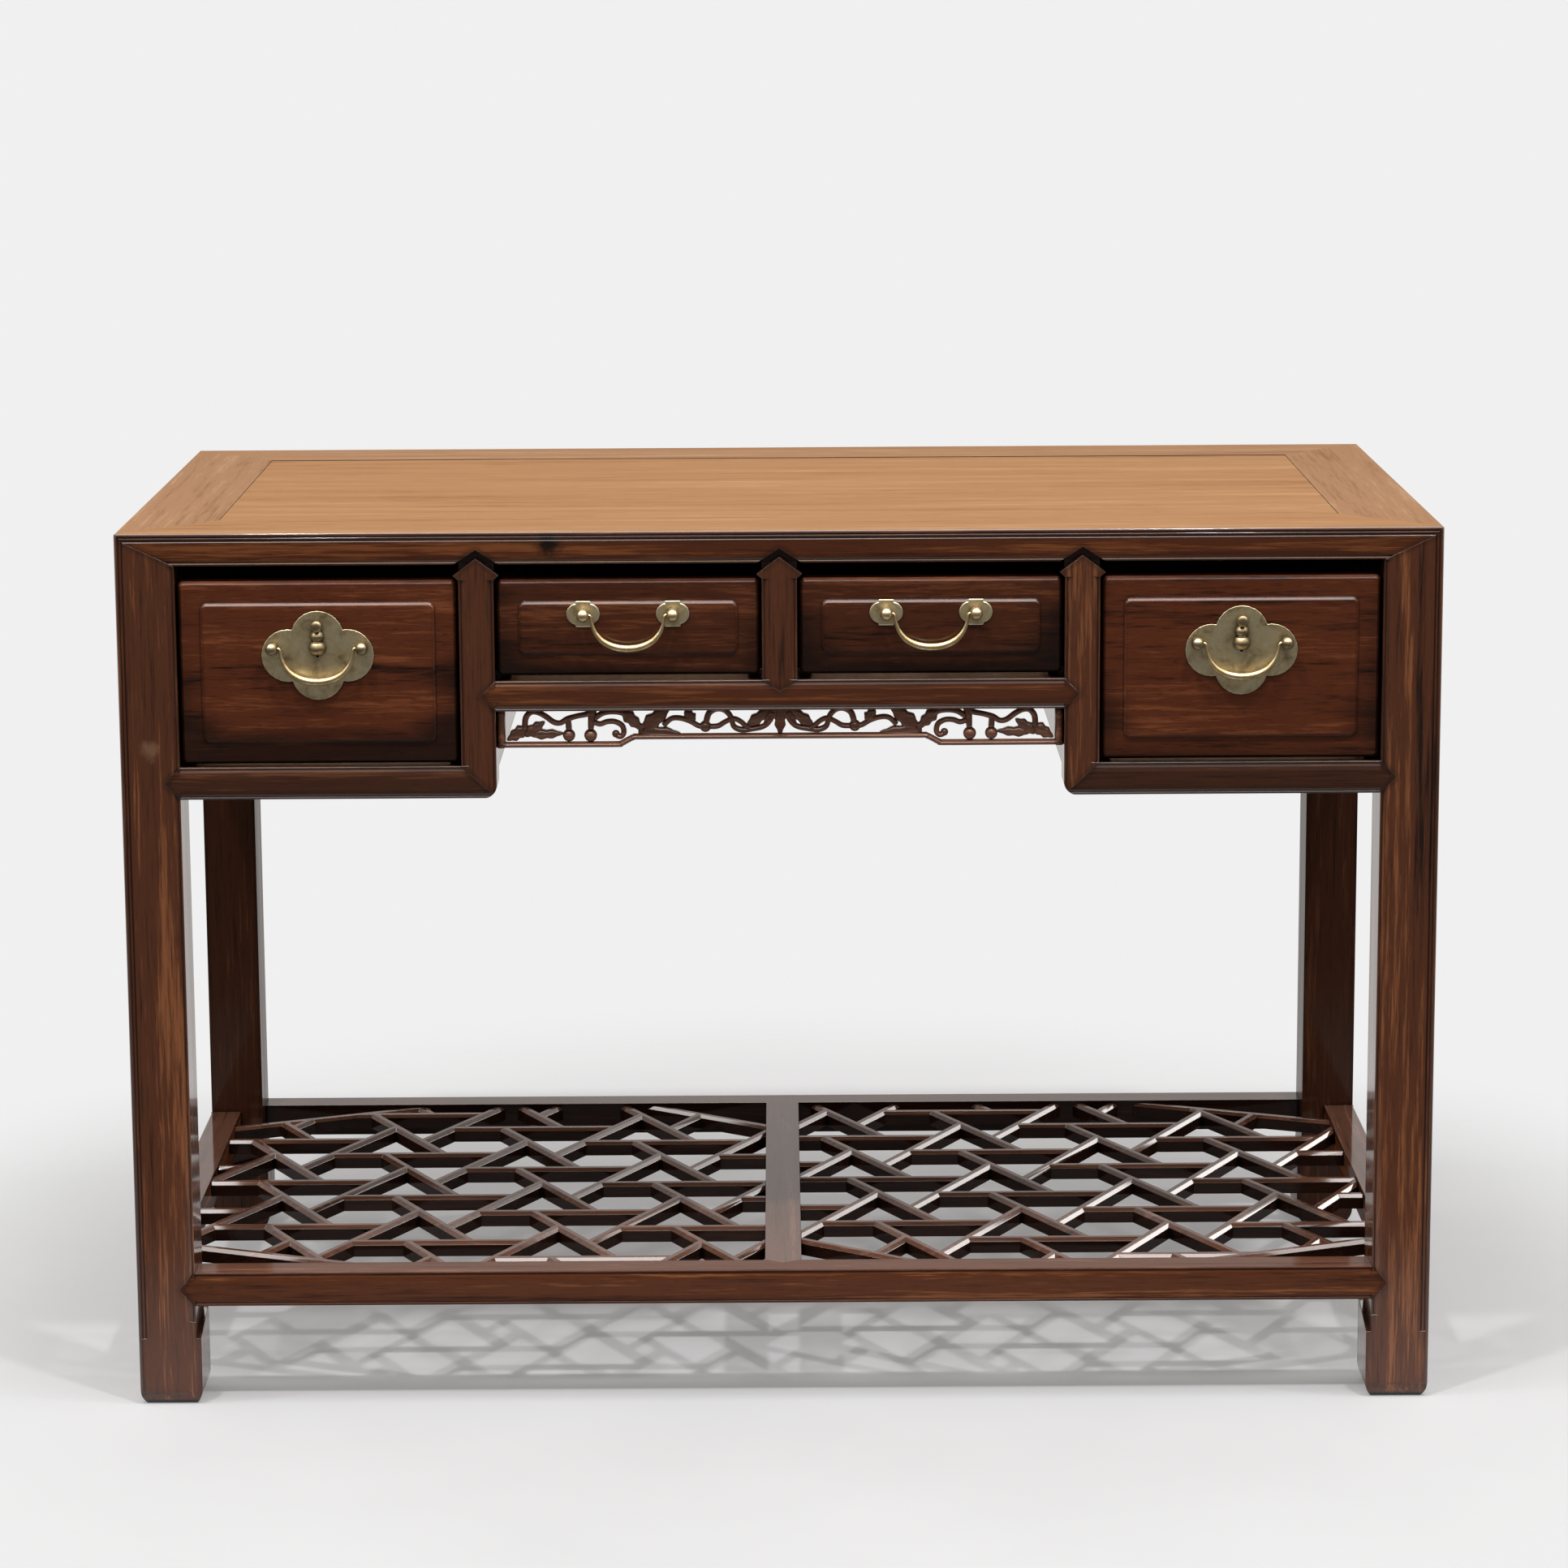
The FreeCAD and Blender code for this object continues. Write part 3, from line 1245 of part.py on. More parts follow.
def deep_fittings(box_of):
    """Plate, posts, bail, gourd drop and lock of a deep drawer."""
    plate_z = box_of.centre + size.deep_plate_rise
    pull_z = plate_z + size.deep_pull_rise
    pin_z = plate_z + size.drop_pin_rise
    pair, ball_y = posts(box_of, pull_z)
    pin = drop_pin(box_of, pin_z)
    key = keyhole(box_of, pin_z - size.keyhole_drop)
    lock_z = pin_z - size.keyhole_drop - size.keyhole_slot_height / 2
    lock = box("lock_case", (box_of.middle - size.lock_width / 2, box_of.middle + size.lock_width / 2),
               (box_of.back - size.lock_depth, box_of.back),
               (lock_z - size.lock_height / 2, lock_z + size.lock_height / 2))
    label = box_of.label
    node(f"{label}_lock", cut(lock, key))
    node(f"{label}_plate", cut(lobed_plate(box_of, plate_z), *pair, pin, key))
    node(f"{label}_posts", group(f"{label}_post_set", *pair, pin))
    node(f"{label}_bail", bail(f"{label}_handle", box_of.middle, ball_y, pull_z))
    drop_y = box_of.face - size.plate_thickness - size.drop_gap
    node(f"{label}_keyhole_cover", gourd(f"{label}_gourd", box_of.middle, drop_y, pin_z))
    node(f"{label}_front", cut(box_of.board, lock, *pair, pin, key))


def shallow_fittings(box_of):
    """Cloud plates, posts and bail of a shallow drawer."""
    pull_z = box_of.centre + size.shallow_pull_rise
    pair, ball_y = posts(box_of, pull_z)
    plates = [cut(plate, post) for plate, post in zip(cloud_plates(box_of, pull_z), pair)]
    label = box_of.label
    node(f"{label}_handle_mounts", group(f"{label}_mount_set", *plates, *pair))
    node(f"{label}_bail", bail(f"{label}_handle", box_of.middle, ball_y, pull_z))
    node(f"{label}_front", cut(box_of.board, *pair))


# Assembly: every piece is cut by the pieces that seat in it.
panel, panel_groove = top_panel()
battens = top_battens()
node("top_panel", panel)
node("top_battens", battens)
front_grid, back_grid = grid(FRONT), grid(BACK)
side_boards, back_boards, back_centre_board = outer_boards()
cheeks = {side: cheek(f"{word}_cheek", side) for word, side in SIDES.items()}
shelf = shelf_rails()
shelf_middle = shelf_middle_rail()
side_rails = {}
for word, side in SIDES.items():
    layers = [across(side, half_width - far, half_width - near)
              for near, far in ((0, size.mitre_depth), (size.mitre_depth, size.grid_depth))]
    tenon_depth = size.mitre_depth + (size.grid_depth - size.mitre_depth - size.tenon_thickness) / 2
    tenon_layer = across(side, half_width - tenon_depth - size.tenon_thickness, half_width - tenon_depth)
    run = (front + size.leg_width, back - size.leg_width)
    height = (pedestal_under, pedestal_floor)
    rail = mitred_rail(f"{word}_side_rail_whole", "YZ", run, height, *layers, tenon_layer)
    side_rails[side] = bead_rail(rail, f"{word}_side_rail", "XZ", height, half_width * side, -side, run)

node("top_front_rail", cut(long_top_rail(FRONT), panel_groove, battens, *front_grid.notches,
                           *front_grid.stiles.values(), front_grid.middle))
node("top_back_rail", cut(long_top_rail(BACK), panel_groove, battens, *back_grid.notches,
                          *back_grid.stiles.values(), *back_boards.values(), back_centre_board))
for word, side in SIDES.items():
    node(f"top_{word}_rail", cut(short_top_rail(side), panel_groove, side_boards[side]))
    node(f"{word}_side_rail", cut(side_rails[side], side_boards[side]))
    for face_word, face in FACES.items():
        grid_rail = (front_grid if face == FRONT else back_grid).rails[side]
        seated = [grid_rail, side_rails[side], shelf[face_word], shelf[word], side_boards[side]]
        if face == BACK:
            seated.append(back_boards[side])
        node(f"{face_word}_{word}_leg", cut(leg_blank(f"{face_word}_{word}_leg_blank", side, face), *seated))
    node(f"{word}_stile", cut(front_grid.stiles[side], cheeks[side]))
    node(f"{word}_lower_rail", cut(front_grid.rails[side], cheeks[side]))
    node(f"{word}_pedestal_panel", cheeks[side])
    node(f"{word}_lattice", lattice(f"{word}_lattice_bars", side))
    node(f"shelf_{word}_rail", shelf[word])
    node(f"shelf_{'front' if side == LEFT else 'back'}_rail",
         cut(shelf["front" if side == LEFT else "back"], shelf_middle))
node("centre_stile", front_grid.middle)
node("centre_lower_rail", front_grid.centre)
node("carved_apron", apron())
node("side_panels", group("side_board_set", *side_boards.values()))
node("back_stiles", group("back_stile_set", *[cut(back_grid.stiles[side], cheeks[side], back_boards[side],
                                                  back_centre_board) for side in SIDES.values()]))
node("back_lower_rails", group("back_rail_set", cut(back_grid.centre, back_centre_board),
                               *[cut(back_grid.rails[side], back_boards[side], cheeks[side])
                                 for side in SIDES.values()]))
node("back_panels", group("back_board_set", *back_boards.values(), back_centre_board))
node("pedestal_runners", pedestal_runners())
node("centre_runners", centre_runners())
node("shelf_middle_rail", shelf_middle)

half_stile = size.stile_width / 2
for word, side in SIDES.items():
    deep_fittings(drawer(f"{word}_drawer", across(side, stile_outside, leg_inside),
                         pedestal_floor + size.deep_drawer_gap, size.deep_drawer_height))
    shallow_fittings(drawer(f"{word}_centre_drawer", across(side, half_stile, stile_inside),
                            centre_floor + size.shallow_drawer_gap, size.shallow_drawer_height))

doc.recompute()
for thing in doc.Objects:
    if "Invalid" in thing.State or "Error" in thing.State:
        raise RuntimeError(f"{thing.Label} failed: {thing.State}")
for label, thing in pieces.items():
    if thing.Shape.isNull() or not thing.Shape.isValid() or not thing.Shape.Solids:
        raise RuntimeError(f"{label} has no valid solid")

os.makedirs("parts", exist_ok=True)
for label, thing in pieces.items():
    thing.Shape.exportStep(f"parts/{label}.step")
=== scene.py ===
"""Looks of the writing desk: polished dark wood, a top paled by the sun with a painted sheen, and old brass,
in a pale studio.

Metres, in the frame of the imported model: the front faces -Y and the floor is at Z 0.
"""
import json
import math

import bmesh
import bpy
from mathutils import Euler, Matrix, Vector


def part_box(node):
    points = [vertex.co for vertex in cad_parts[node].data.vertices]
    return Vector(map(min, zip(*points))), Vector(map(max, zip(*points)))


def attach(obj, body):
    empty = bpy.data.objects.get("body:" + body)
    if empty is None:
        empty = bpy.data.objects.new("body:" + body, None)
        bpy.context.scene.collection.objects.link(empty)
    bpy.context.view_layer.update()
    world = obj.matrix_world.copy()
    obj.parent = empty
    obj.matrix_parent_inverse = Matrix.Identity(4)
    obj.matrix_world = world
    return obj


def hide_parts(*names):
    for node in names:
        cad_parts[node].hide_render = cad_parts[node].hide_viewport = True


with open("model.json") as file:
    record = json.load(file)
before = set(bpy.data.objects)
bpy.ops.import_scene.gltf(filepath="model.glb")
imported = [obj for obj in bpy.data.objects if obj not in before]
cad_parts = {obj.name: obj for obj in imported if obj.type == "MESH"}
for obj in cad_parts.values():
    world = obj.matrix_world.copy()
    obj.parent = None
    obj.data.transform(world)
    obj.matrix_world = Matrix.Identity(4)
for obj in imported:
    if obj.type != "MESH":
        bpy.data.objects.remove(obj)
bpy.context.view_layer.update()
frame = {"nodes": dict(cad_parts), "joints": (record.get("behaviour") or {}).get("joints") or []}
nodes = frame["nodes"]
pivots = {joint["name"]: Vector(joint["pos_m"]) for joint in frame["joints"] if joint["type"] == "hinge"}
MM = 0.001
# Left and right of the middle.
SIDES = (-1, 1)


# Vector arithmetic whose result is a number.
NUMBER_RESULTS = ("DOT_PRODUCT", "DISTANCE", "LENGTH")
# Sockets of a colour mix: factor, first colour and second colour, and its result.
MIX_SOCKETS = (0, 6, 7)
MIX_RESULT = 2
# Where a stop of a ramp is made before it is moved to its place.
NEW_STOP = 0.5


class Tree:
    """The nodes of a material or a world, built one at a time."""

    def __init__(self, owner):
        owner.use_nodes = True
        self.owner = owner
        self.nodes = owner.node_tree.nodes
        self.links = owner.node_tree.links

    def add(self, kind, inputs=None, **settings):
        """Adds a node; an input is a value, or another node's output to link."""
        made = self.nodes.new(f"ShaderNode{kind}")
        for name, value in settings.items():
            setattr(made, name, value)
        for key, value in (inputs or {}).items():
            self.feed(made.inputs[key], value)
        return made

    def feed(self, socket, value):
        if isinstance(value, bpy.types.NodeSocket):
            self.links.new(value, socket)
        else:
            socket.default_value = value

    def surface(self, **inputs):
        """Feeds the surface shader; a socket's name has _ for each space."""
        shader = self.nodes["Principled BSDF"]
        for name, value in inputs.items():
            self.feed(shader.inputs[name.replace("_", " ")], value)

    def place(self):
        return self.add("TexCoord").outputs["Object"]

    def noise(self, vector, scale, detail=4.0, roughness=0.55, distortion=0.0):
        made = self.add("TexNoise", {"Vector": vector, "Scale": scale, "Detail": detail,
                                     "Roughness": roughness, "Distortion": distortion})
        return made.outputs["Fac"]

    def math(self, operation, first, second=0.0, third=0.0):
        made = self.add("Math", {0: first, 1: second, 2: third}, operation=operation)
        return made.outputs[0]

    def vector(self, operation, first, second=(0.0, 0.0, 0.0)):
        made = self.add("VectorMath", {0: first, 1: second}, operation=operation)
        return made.outputs["Value" if operation in NUMBER_RESULTS else "Vector"]

    def split(self, vector):
        return self.add("SeparateXYZ", {"Vector": vector}).outputs

    def ramp(self, factor, stops):
        """Colours between stops of place and colour."""
        made = self.add("ValToRGB", {"Fac": factor})
        elements = made.color_ramp.elements
        while len(elements) < len(stops):
            elements.new(NEW_STOP)
        for element, (place, colour) in zip(elements, stops):
            element.position = place
            element.color = shade(colour)
        return made.outputs["Color"]

    def mix(self, factor, first, second):
        made = self.add("Mix", data_type="RGBA", clamp_factor=True)
        for socket, value in zip(MIX_SOCKETS, (factor, first, second)):
            self.feed(made.inputs[socket], value)
        return made.outputs[MIX_RESULT]

    def fade(self, value, low, high, start=0.0, end=1.0):
        """Goes smoothly from start to end while a value goes from low to high."""
        made = self.add("MapRange", {"Value": value, "From Min": low, "From Max": high,
                                     "To Min": start, "To Max": end}, interpolation_type="SMOOTHSTEP")
        return made.outputs["Result"]

    def bump(self, height, strength, distance):
        made = self.add("Bump", {"Height": height, "Strength": strength, "Distance": distance})
        return made.outputs["Normal"]


def shade(colour):
    """Linear colour from three display values out of 255, by the standard display curve."""
    def linear(value):
        value /= 255
        return value / 12.92 if value <= 0.04045 else ((value + 0.055) / 1.055) ** 2.4
    return (*(linear(value) for value in colour), 1.0)


# Wood tones: dark streak, body and light streak, as seen in plain light.
ROSEWOOD = ((32, 17, 11), (88, 49, 30), (138, 85, 52))
RAIL_WOOD = ((24, 13, 8), (82, 42, 22), (122, 70, 38))
# Lower pedestal rails: darkened as painted shade against the light they catch.
LOW_RAIL_WOOD_IN_PAINTED_SHADE = ((20, 11, 7), (66, 36, 21), (102, 60, 36))
DRAWER_WOOD = ((20, 12, 9), (92, 46, 26), (126, 71, 42))
CENTRE_DRAWER_WOOD = ((16, 10, 8), (74, 38, 22), (108, 61, 37))
CARVED_WOOD = ((58, 36, 27), (116, 75, 56), (150, 102, 78))
# Back legs: rosewood darkened as painted shade under the desk.
ROSEWOOD_IN_PAINTED_SHADE = ((24, 13, 8), (60, 33, 20), (86, 51, 30))
# Lattice sides and the shelf's back rail: darkened as painted shade.
LATTICE_WOOD_IN_PAINTED_SHADE = ((14, 8, 6), (34, 19, 13), (50, 29, 20))
# Faces that look up: paler from sun-fading and dust, with a painted sheen in the tones.
FADED_TOP_AND_SHEEN = ((122, 85, 56), (150, 112, 80), (164, 127, 93))
FADED_END_AND_SHEEN = ((120, 89, 66), (144, 110, 83), (160, 127, 99))
DUST_AND_SHEEN = ((54, 35, 27), (98, 65, 51), (128, 91, 73))
RAW_WOOD = ((120, 88, 58), (164, 126, 88), (186, 148, 108))
# Crevice colour: dirt, and painted shade where light doesn't reach.
CREVICE_DIRT_AND_SHADE = (14, 9, 7)

# Grain: how far it is drawn out, its noises as scale, detail, roughness and distortion, and their shares.
LONG_GRAIN = 0.04
SHORT_GRAIN = 0.07
FIGURE = (30.0, 3.0, 0.5, 0.8)
STREAK = (150.0, 3.0, 0.6, 0.3)
FIBRE = (520.0, 3.0, 0.65)
PORE = (1100.0, 2.0, 0.6)
FIGURE_SHARE = 0.36
STREAK_SHARE = 0.34
FIBRE_SHARE = 0.3
TONE_STOPS = (0.36, 0.47, 0.53, 0.61)
PORE_FADE = (0.6, 0.7)
PORE_SHADE = 0.5
PORE_STRENGTH = 0.1
PORE_DEPTH = 0.3 * MM
# Where the grain of seed 0 starts, and how far each seed moves it on.
SEED_START = (0.0, 3.0, 7.0)
SEED_STEP = (0.37, 0.61, 0.83)

# Dirt and painted shade in the crevices, and edges: how far the gloss turns over one, and the dark border by
# it, of old polish and painted shade
SHADER_RAYS = 6
CREVICE = 7 * MM
WIDE_CREVICE = 16 * MM
OPEN_FADE = (0.3, 0.85)
EDGE_TURN = (0.84, 0.998)
# How much darker the wood is along its edges: old polish and painted shade of the rolled edges.
EDGE_POLISH_AND_SHADE = 0.6
EDGE = 0.9 * MM
FRONT_EDGE = 2.5 * MM
BORDER = 12 * MM
FINE_BORDER = 1.5 * MM
FRONT_BORDER = 4 * MM

# Smoke on the drawer fronts: its noise, and measures in shares of half a front
SMOKE_CLOUD = (14.0, 4.0, 0.6, 1.0)
SMOKE_DRIFT = 1.1
SMOKE_LOW = 0.2
SMOKE_FADE = (1.3, 1.75)
SMOKE_DEPTH = 0.85

# Single marks: their noise, and measures in shares of their reach
MARK_SCALE = 1.4
MARK_DETAIL = 4.0
MARK_ROUGHNESS = 0.65
MARK_DRIFT = 1.6
MARK_FADE = (0.9, 2.0)

# Gloss: roughness of the wood, weight of the polish over it, and shine of the wood itself
ROUGHNESS = 0.24
RAW_ROUGHNESS = 0.55
GLOSS_SCALE = 60.0
GLOSS_FADE = (0.3, 0.7)
DULLER = 0.12
FADED_DULLER = 0.16
POLISH = 0.8
DULL_POLISH = 0.2
DRAWER_POLISH = 0.32
POLISH_ROUGHNESS = 0.08
LUSTRE = 0.12
DULL_LUSTRE = 0.05
# How much a face looks up where its fading starts and is full.
LOOKS_UP = (0.75, 0.97)
BAR_LOOKS_UP = (0.55, 0.78)


def grain_space(tree, along, seed, stretch):
    """Coordinates drawn out along the grain, so that noise becomes streaks."""
    scale = [1.0, 1.0, 1.0]
    scale["XYZ".index(along)] = stretch
    shift = [step * seed + start for step, start in zip(SEED_STEP, SEED_START)]
    made = tree.add("Mapping", {"Vector": tree.place(), "Scale": scale, "Location": shift})
    return made.outputs["Vector"]


def streaks(tree, space, tones):
    """Colour of one wood: broad figure, streaks, and fine dark pores. Also returns the pores."""
    dark, body, light = tones
    blend = tree.math("MULTIPLY", tree.noise(space, *FIGURE), FIGURE_SHARE)
    blend = tree.math("MULTIPLY_ADD", tree.noise(space, *STREAK), STREAK_SHARE, blend)
    blend = tree.math("MULTIPLY_ADD", tree.noise(space, *FIBRE), FIBRE_SHARE, blend)
    colour = tree.ramp(blend, list(zip(TONE_STOPS, (dark, body, body, light))))
    pores = tree.fade(tree.noise(space, *PORE), *PORE_FADE)
    return tree.mix(tree.math("MULTIPLY", pores, PORE_SHADE), colour, shade(dark)), pores


def crevice_dirt_and_painted_shade(tree, colour, reach, dirt_and_shade):
    """Darkens a colour in the crevices: partly dirt and polish that gather there, partly painted shade."""
    openness = tree.add("AmbientOcclusion", {"Distance": reach}, samples=SHADER_RAYS).outputs["AO"]
    return tree.mix(tree.fade(openness, *OPEN_FADE), shade(dirt_and_shade), colour)


def rounded_normal(tree, reach):
    """Normals that turn smoothly over the edges."""
    return tree.add("Bevel", {"Radius": reach}, samples=SHADER_RAYS).outputs["Normal"]


def along_edges(tree, reach, strength):
    """A share that is strongest on the edges and nothing away from them."""
    true_normal = tree.add("NewGeometry").outputs["Normal"]
    level = tree.vector("DOT_PRODUCT", rounded_normal(tree, reach), true_normal)
    return tree.fade(tree.fade(level, *EDGE_TURN), 0.0, 1.0, strength, 0.0)


def smoked(tree, colour, node, dark):
    """Darkens the border of a drawer front in uneven bands, most of all below, as old polish does."""
    low, high = (Vector(corner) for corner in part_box(node))
    middle = (low + high) / 2
    half = (high - low) / 2
    share = tree.split(tree.vector("DIVIDE", tree.vector("SUBTRACT", tree.place(), middle), half))
    border = tree.math("MAXIMUM", *(tree.math("ABSOLUTE", share[axis]) for axis in "XZ"))
    border = tree.math("MULTIPLY_ADD", share["Z"], -SMOKE_LOW, border)
    cloud = tree.noise(grain_space(tree, "X", middle.x, SHORT_GRAIN), *SMOKE_CLOUD)
    reach = tree.math("MULTIPLY_ADD", cloud, SMOKE_DRIFT, border)
    return tree.mix(tree.fade(reach, *SMOKE_FADE, 0.0, SMOKE_DEPTH), colour, shade(dark))


def marked(tree, colour, middle, reach, tone, strength):
    """Adds an uneven spot, such as a knot or a rubbed place."""
    place = tree.place()
    cloud = tree.noise(place, MARK_SCALE / reach, MARK_DETAIL, MARK_ROUGHNESS)
    away = tree.math("MULTIPLY_ADD", cloud, MARK_DRIFT * reach, tree.vector("DISTANCE", place, middle))
    start, end = (share * reach for share in MARK_FADE)
    return tree.mix(tree.fade(away, start, end, strength, 0.0), colour, shade(tone))


def wood(name, along, seed, tones, faded_and_sheen=None, roughness=ROUGHNESS, polish=POLISH, lustre=LUSTRE, edge=EDGE,
         border=BORDER, crevice=CREVICE, stretch=LONG_GRAIN, drawer=None, mark=None, top_polish=0.0,
         looks_up=LOOKS_UP):
    """Polished wood with its grain along one axis.

    The faces that look up take the tones given for them, paler from sun-fading and dust with a painted sheen
    in them, and top_polish is their polish. Edge is how far the gloss turns over the edges, and border how
    far the wood is darkened along them, partly by old polish and partly as painted shade of their rolled
    sides. Drawer names the front that is smoked.
    """
    tree = Tree(bpy.data.materials.new(name))
    space = grain_space(tree, along, seed, stretch)
    colour, pores = streaks(tree, space, tones)
    gloss = tree.fade(tree.noise(space, GLOSS_SCALE), *GLOSS_FADE, roughness, roughness + DULLER)
    if drawer:
        colour = smoked(tree, colour, drawer, tones[0])
    if mark:
        colour = marked(tree, colour, *mark)
    # Edges darker: partly old polish, partly painted shade where the rolled edges turn from the light.
    colour = tree.mix(along_edges(tree, border, EDGE_POLISH_AND_SHADE), colour, shade(tones[0]))
    # Crevices and joints darker: dirt and painted shade.
    colour = crevice_dirt_and_painted_shade(tree, colour, crevice, CREVICE_DIRT_AND_SHADE)
    # Faces that look up get paler tones: sun-fading and dust, with a painted sheen.
    if faded_and_sheen:
        pale, _ = streaks(tree, space, faded_and_sheen)
        upward = tree.fade(tree.split(tree.add("NewGeometry").outputs["Normal"])["Z"], *looks_up)
        colour = tree.mix(upward, colour, pale)
        gloss = tree.math("MULTIPLY_ADD", upward, FADED_DULLER, gloss)
        tree.surface(Coat_Weight=tree.fade(upward, 0.0, 1.0, polish, top_polish), Specular_IOR_Level=0.0)
    else:
        tree.surface(Coat_Weight=polish, Specular_IOR_Level=lustre)
    tree.surface(Base_Color=colour, Roughness=gloss, Coat_Roughness=POLISH_ROUGHNESS,
                 Coat_Normal=rounded_normal(tree, edge), Normal=tree.bump(pores, PORE_STRENGTH, PORE_DEPTH))
    return tree.owner


# Grain direction of every wooden node but the drawers'; its turn in this list makes its figure its own.
GRAIN = {
    "X": ("top_front_rail", "top_back_rail", "top_panel", "left_lower_rail", "right_lower_rail",
          "centre_lower_rail", "back_lower_rails", "back_panels", "shelf_front_rail", "shelf_back_rail",
          "left_lattice", "right_lattice"),
    "Y": ("top_left_rail", "top_right_rail", "top_battens", "left_side_rail", "right_side_rail",
          "side_panels", "left_pedestal_panel", "right_pedestal_panel", "pedestal_runners", "centre_runners",
          "shelf_left_rail", "shelf_right_rail", "shelf_middle_rail"),
    "Z": ("front_left_leg", "front_right_leg", "back_left_leg", "back_right_leg", "left_stile",
          "centre_stile", "right_stile", "back_stiles"),
}
DEEP_DRAWERS = ("left_drawer", "right_drawer")
SHALLOW_DRAWERS = ("left_centre_drawer", "right_centre_drawer")
SHELF_RAILS = ("shelf_front_rail", "shelf_back_rail", "shelf_left_rail", "shelf_right_rail",
               "shelf_middle_rail")
LATTICES = ("left_lattice", "right_lattice")
# Paler tones for the faces that look up: sun-fading and dust, with a painted sheen.
UPWARD_FADE_AND_SHEEN = {
    **dict.fromkeys(("top_panel", "top_front_rail"), FADED_TOP_AND_SHEEN),
    **dict.fromkeys(("top_back_rail", "top_left_rail", "top_right_rail"), FADED_END_AND_SHEEN),
    **dict.fromkeys(SHELF_RAILS + LATTICES, DUST_AND_SHEEN),
}
# Tones of single nodes; the darker tones of the back legs, the lower pedestal rails, the shelf's back rail
# and the lattices are painted shade.
SPECIAL_TONES = {
    **dict.fromkeys(("top_battens", "pedestal_runners", "centre_runners"), RAW_WOOD),
    **dict.fromkeys(("shelf_back_rail", *LATTICES), LATTICE_WOOD_IN_PAINTED_SHADE),
    **dict.fromkeys(("back_left_leg", "back_right_leg"), ROSEWOOD_IN_PAINTED_SHADE),
    **dict.fromkeys(("top_front_rail", "centre_lower_rail"), RAIL_WOOD),
    **dict.fromkeys(("left_lower_rail", "right_lower_rail"), LOW_RAIL_WOOD_IN_PAINTED_SHADE),
}
# Polish of the shelf's upward faces; the top has none.
TOP_POLISH = {**dict.fromkeys(LATTICES, 0.9), **dict.fromkeys(SHELF_RAILS, 1.0), "shelf_front_rail": 0.45}
DULL_WORDS = ("lattice", "shelf", "back")
FINE_NODES = (*LATTICES, "top_panel")
# A knot in the top rail and a rubbed place on a leg: middle in metres, reach, tone and strength.
MARKS = {"top_front_rail": ((-0.208, -0.300, 0.808), 15 * MM, (18, 11, 8), 0.95),
         "front_left_leg": ((-0.572, -0.300, 0.622), 11 * MM, (150, 116, 92), 0.45)}

# Broken edges of the CAD nodes: their widths, and the steps of those that show most
WELD_REACH = 0.01 * MM
SHARP_TURN = math.radians(25)
FRAME_BREAK = 0.35 * MM
FRONT_BREAK = 1.1 * MM
INSIDE_BREAK = 0.4 * MM
PLATE_BREAK = 0.65 * MM
LOCK_BREAK = 0.3 * MM
ROUND_STEPS = 3


def finish_node(name, material, width, steps=2):
    """Gives a CAD node its material and softly broken edges."""
    thing = nodes[name]
    thing.data.materials.clear()
    thing.data.materials.append(material)
    weld = thing.modifiers.new("weld", "WELD")
    weld.merge_threshold = WELD_REACH
    bevel = thing.modifiers.new("broken_edges", "BEVEL")
    bevel.width = width
    bevel.segments = steps
    bevel.limit_method = "ANGLE"
    bevel.angle_limit = SHARP_TURN
    bevel.harden_normals = True


def dress_member(name, along, seed):
    """Wood of one piece of the frame or the shelf."""
    dull = any(word in name for word in DULL_WORDS)
    material = wood(f"wood_{name}", along, seed, SPECIAL_TONES.get(name, ROSEWOOD),
                    faded_and_sheen=UPWARD_FADE_AND_SHEEN.get(name),
                    polish=DULL_POLISH if dull else POLISH,
                    lustre=DULL_LUSTRE if dull else LUSTRE,
                    border=FINE_BORDER if name in FINE_NODES else BORDER,
                    # The lower rails' wider reach darkens the gap under the drawers with painted shade.
                    crevice=WIDE_CREVICE if name.endswith("lower_rail") else CREVICE,
                    mark=MARKS.get(name),
                    top_polish=TOP_POLISH.get(name, 0.0),
                    looks_up=BAR_LOOKS_UP if name in LATTICES else LOOKS_UP)
    finish_node(name, material, FRAME_BREAK)


def dress_drawer(drawer, seed):
    """A polished front, and plain wood for the rest of the drawer."""
    front = f"{drawer}_front"
    tones = DRAWER_WOOD if drawer in DEEP_DRAWERS else CENTRE_DRAWER_WOOD
    material = wood(f"wood_{front}", "X", seed, tones, polish=DRAWER_POLISH, edge=FRONT_EDGE,
                    border=FRONT_BORDER, stretch=SHORT_GRAIN, drawer=front)
    finish_node(front, material, FRONT_BREAK, ROUND_STEPS)
    raw = wood(f"wood_{drawer}_inside", "Y", seed, RAW_WOOD, roughness=RAW_ROUGHNESS, polish=0.0)
    for part in ("sides", "bottom"):
        finish_node(f"{drawer}_{part}", raw, INSIDE_BREAK)


def dress_wood():
    members = [(name, along) for along, names in GRAIN.items() for name in names]
    for seed, (name, along) in enumerate(members, 1):
        dress_member(name, along, seed)
    for seed, drawer in enumerate(DEEP_DRAWERS + SHALLOW_DRAWERS, len(members) + 1):
        dress_drawer(drawer, seed)


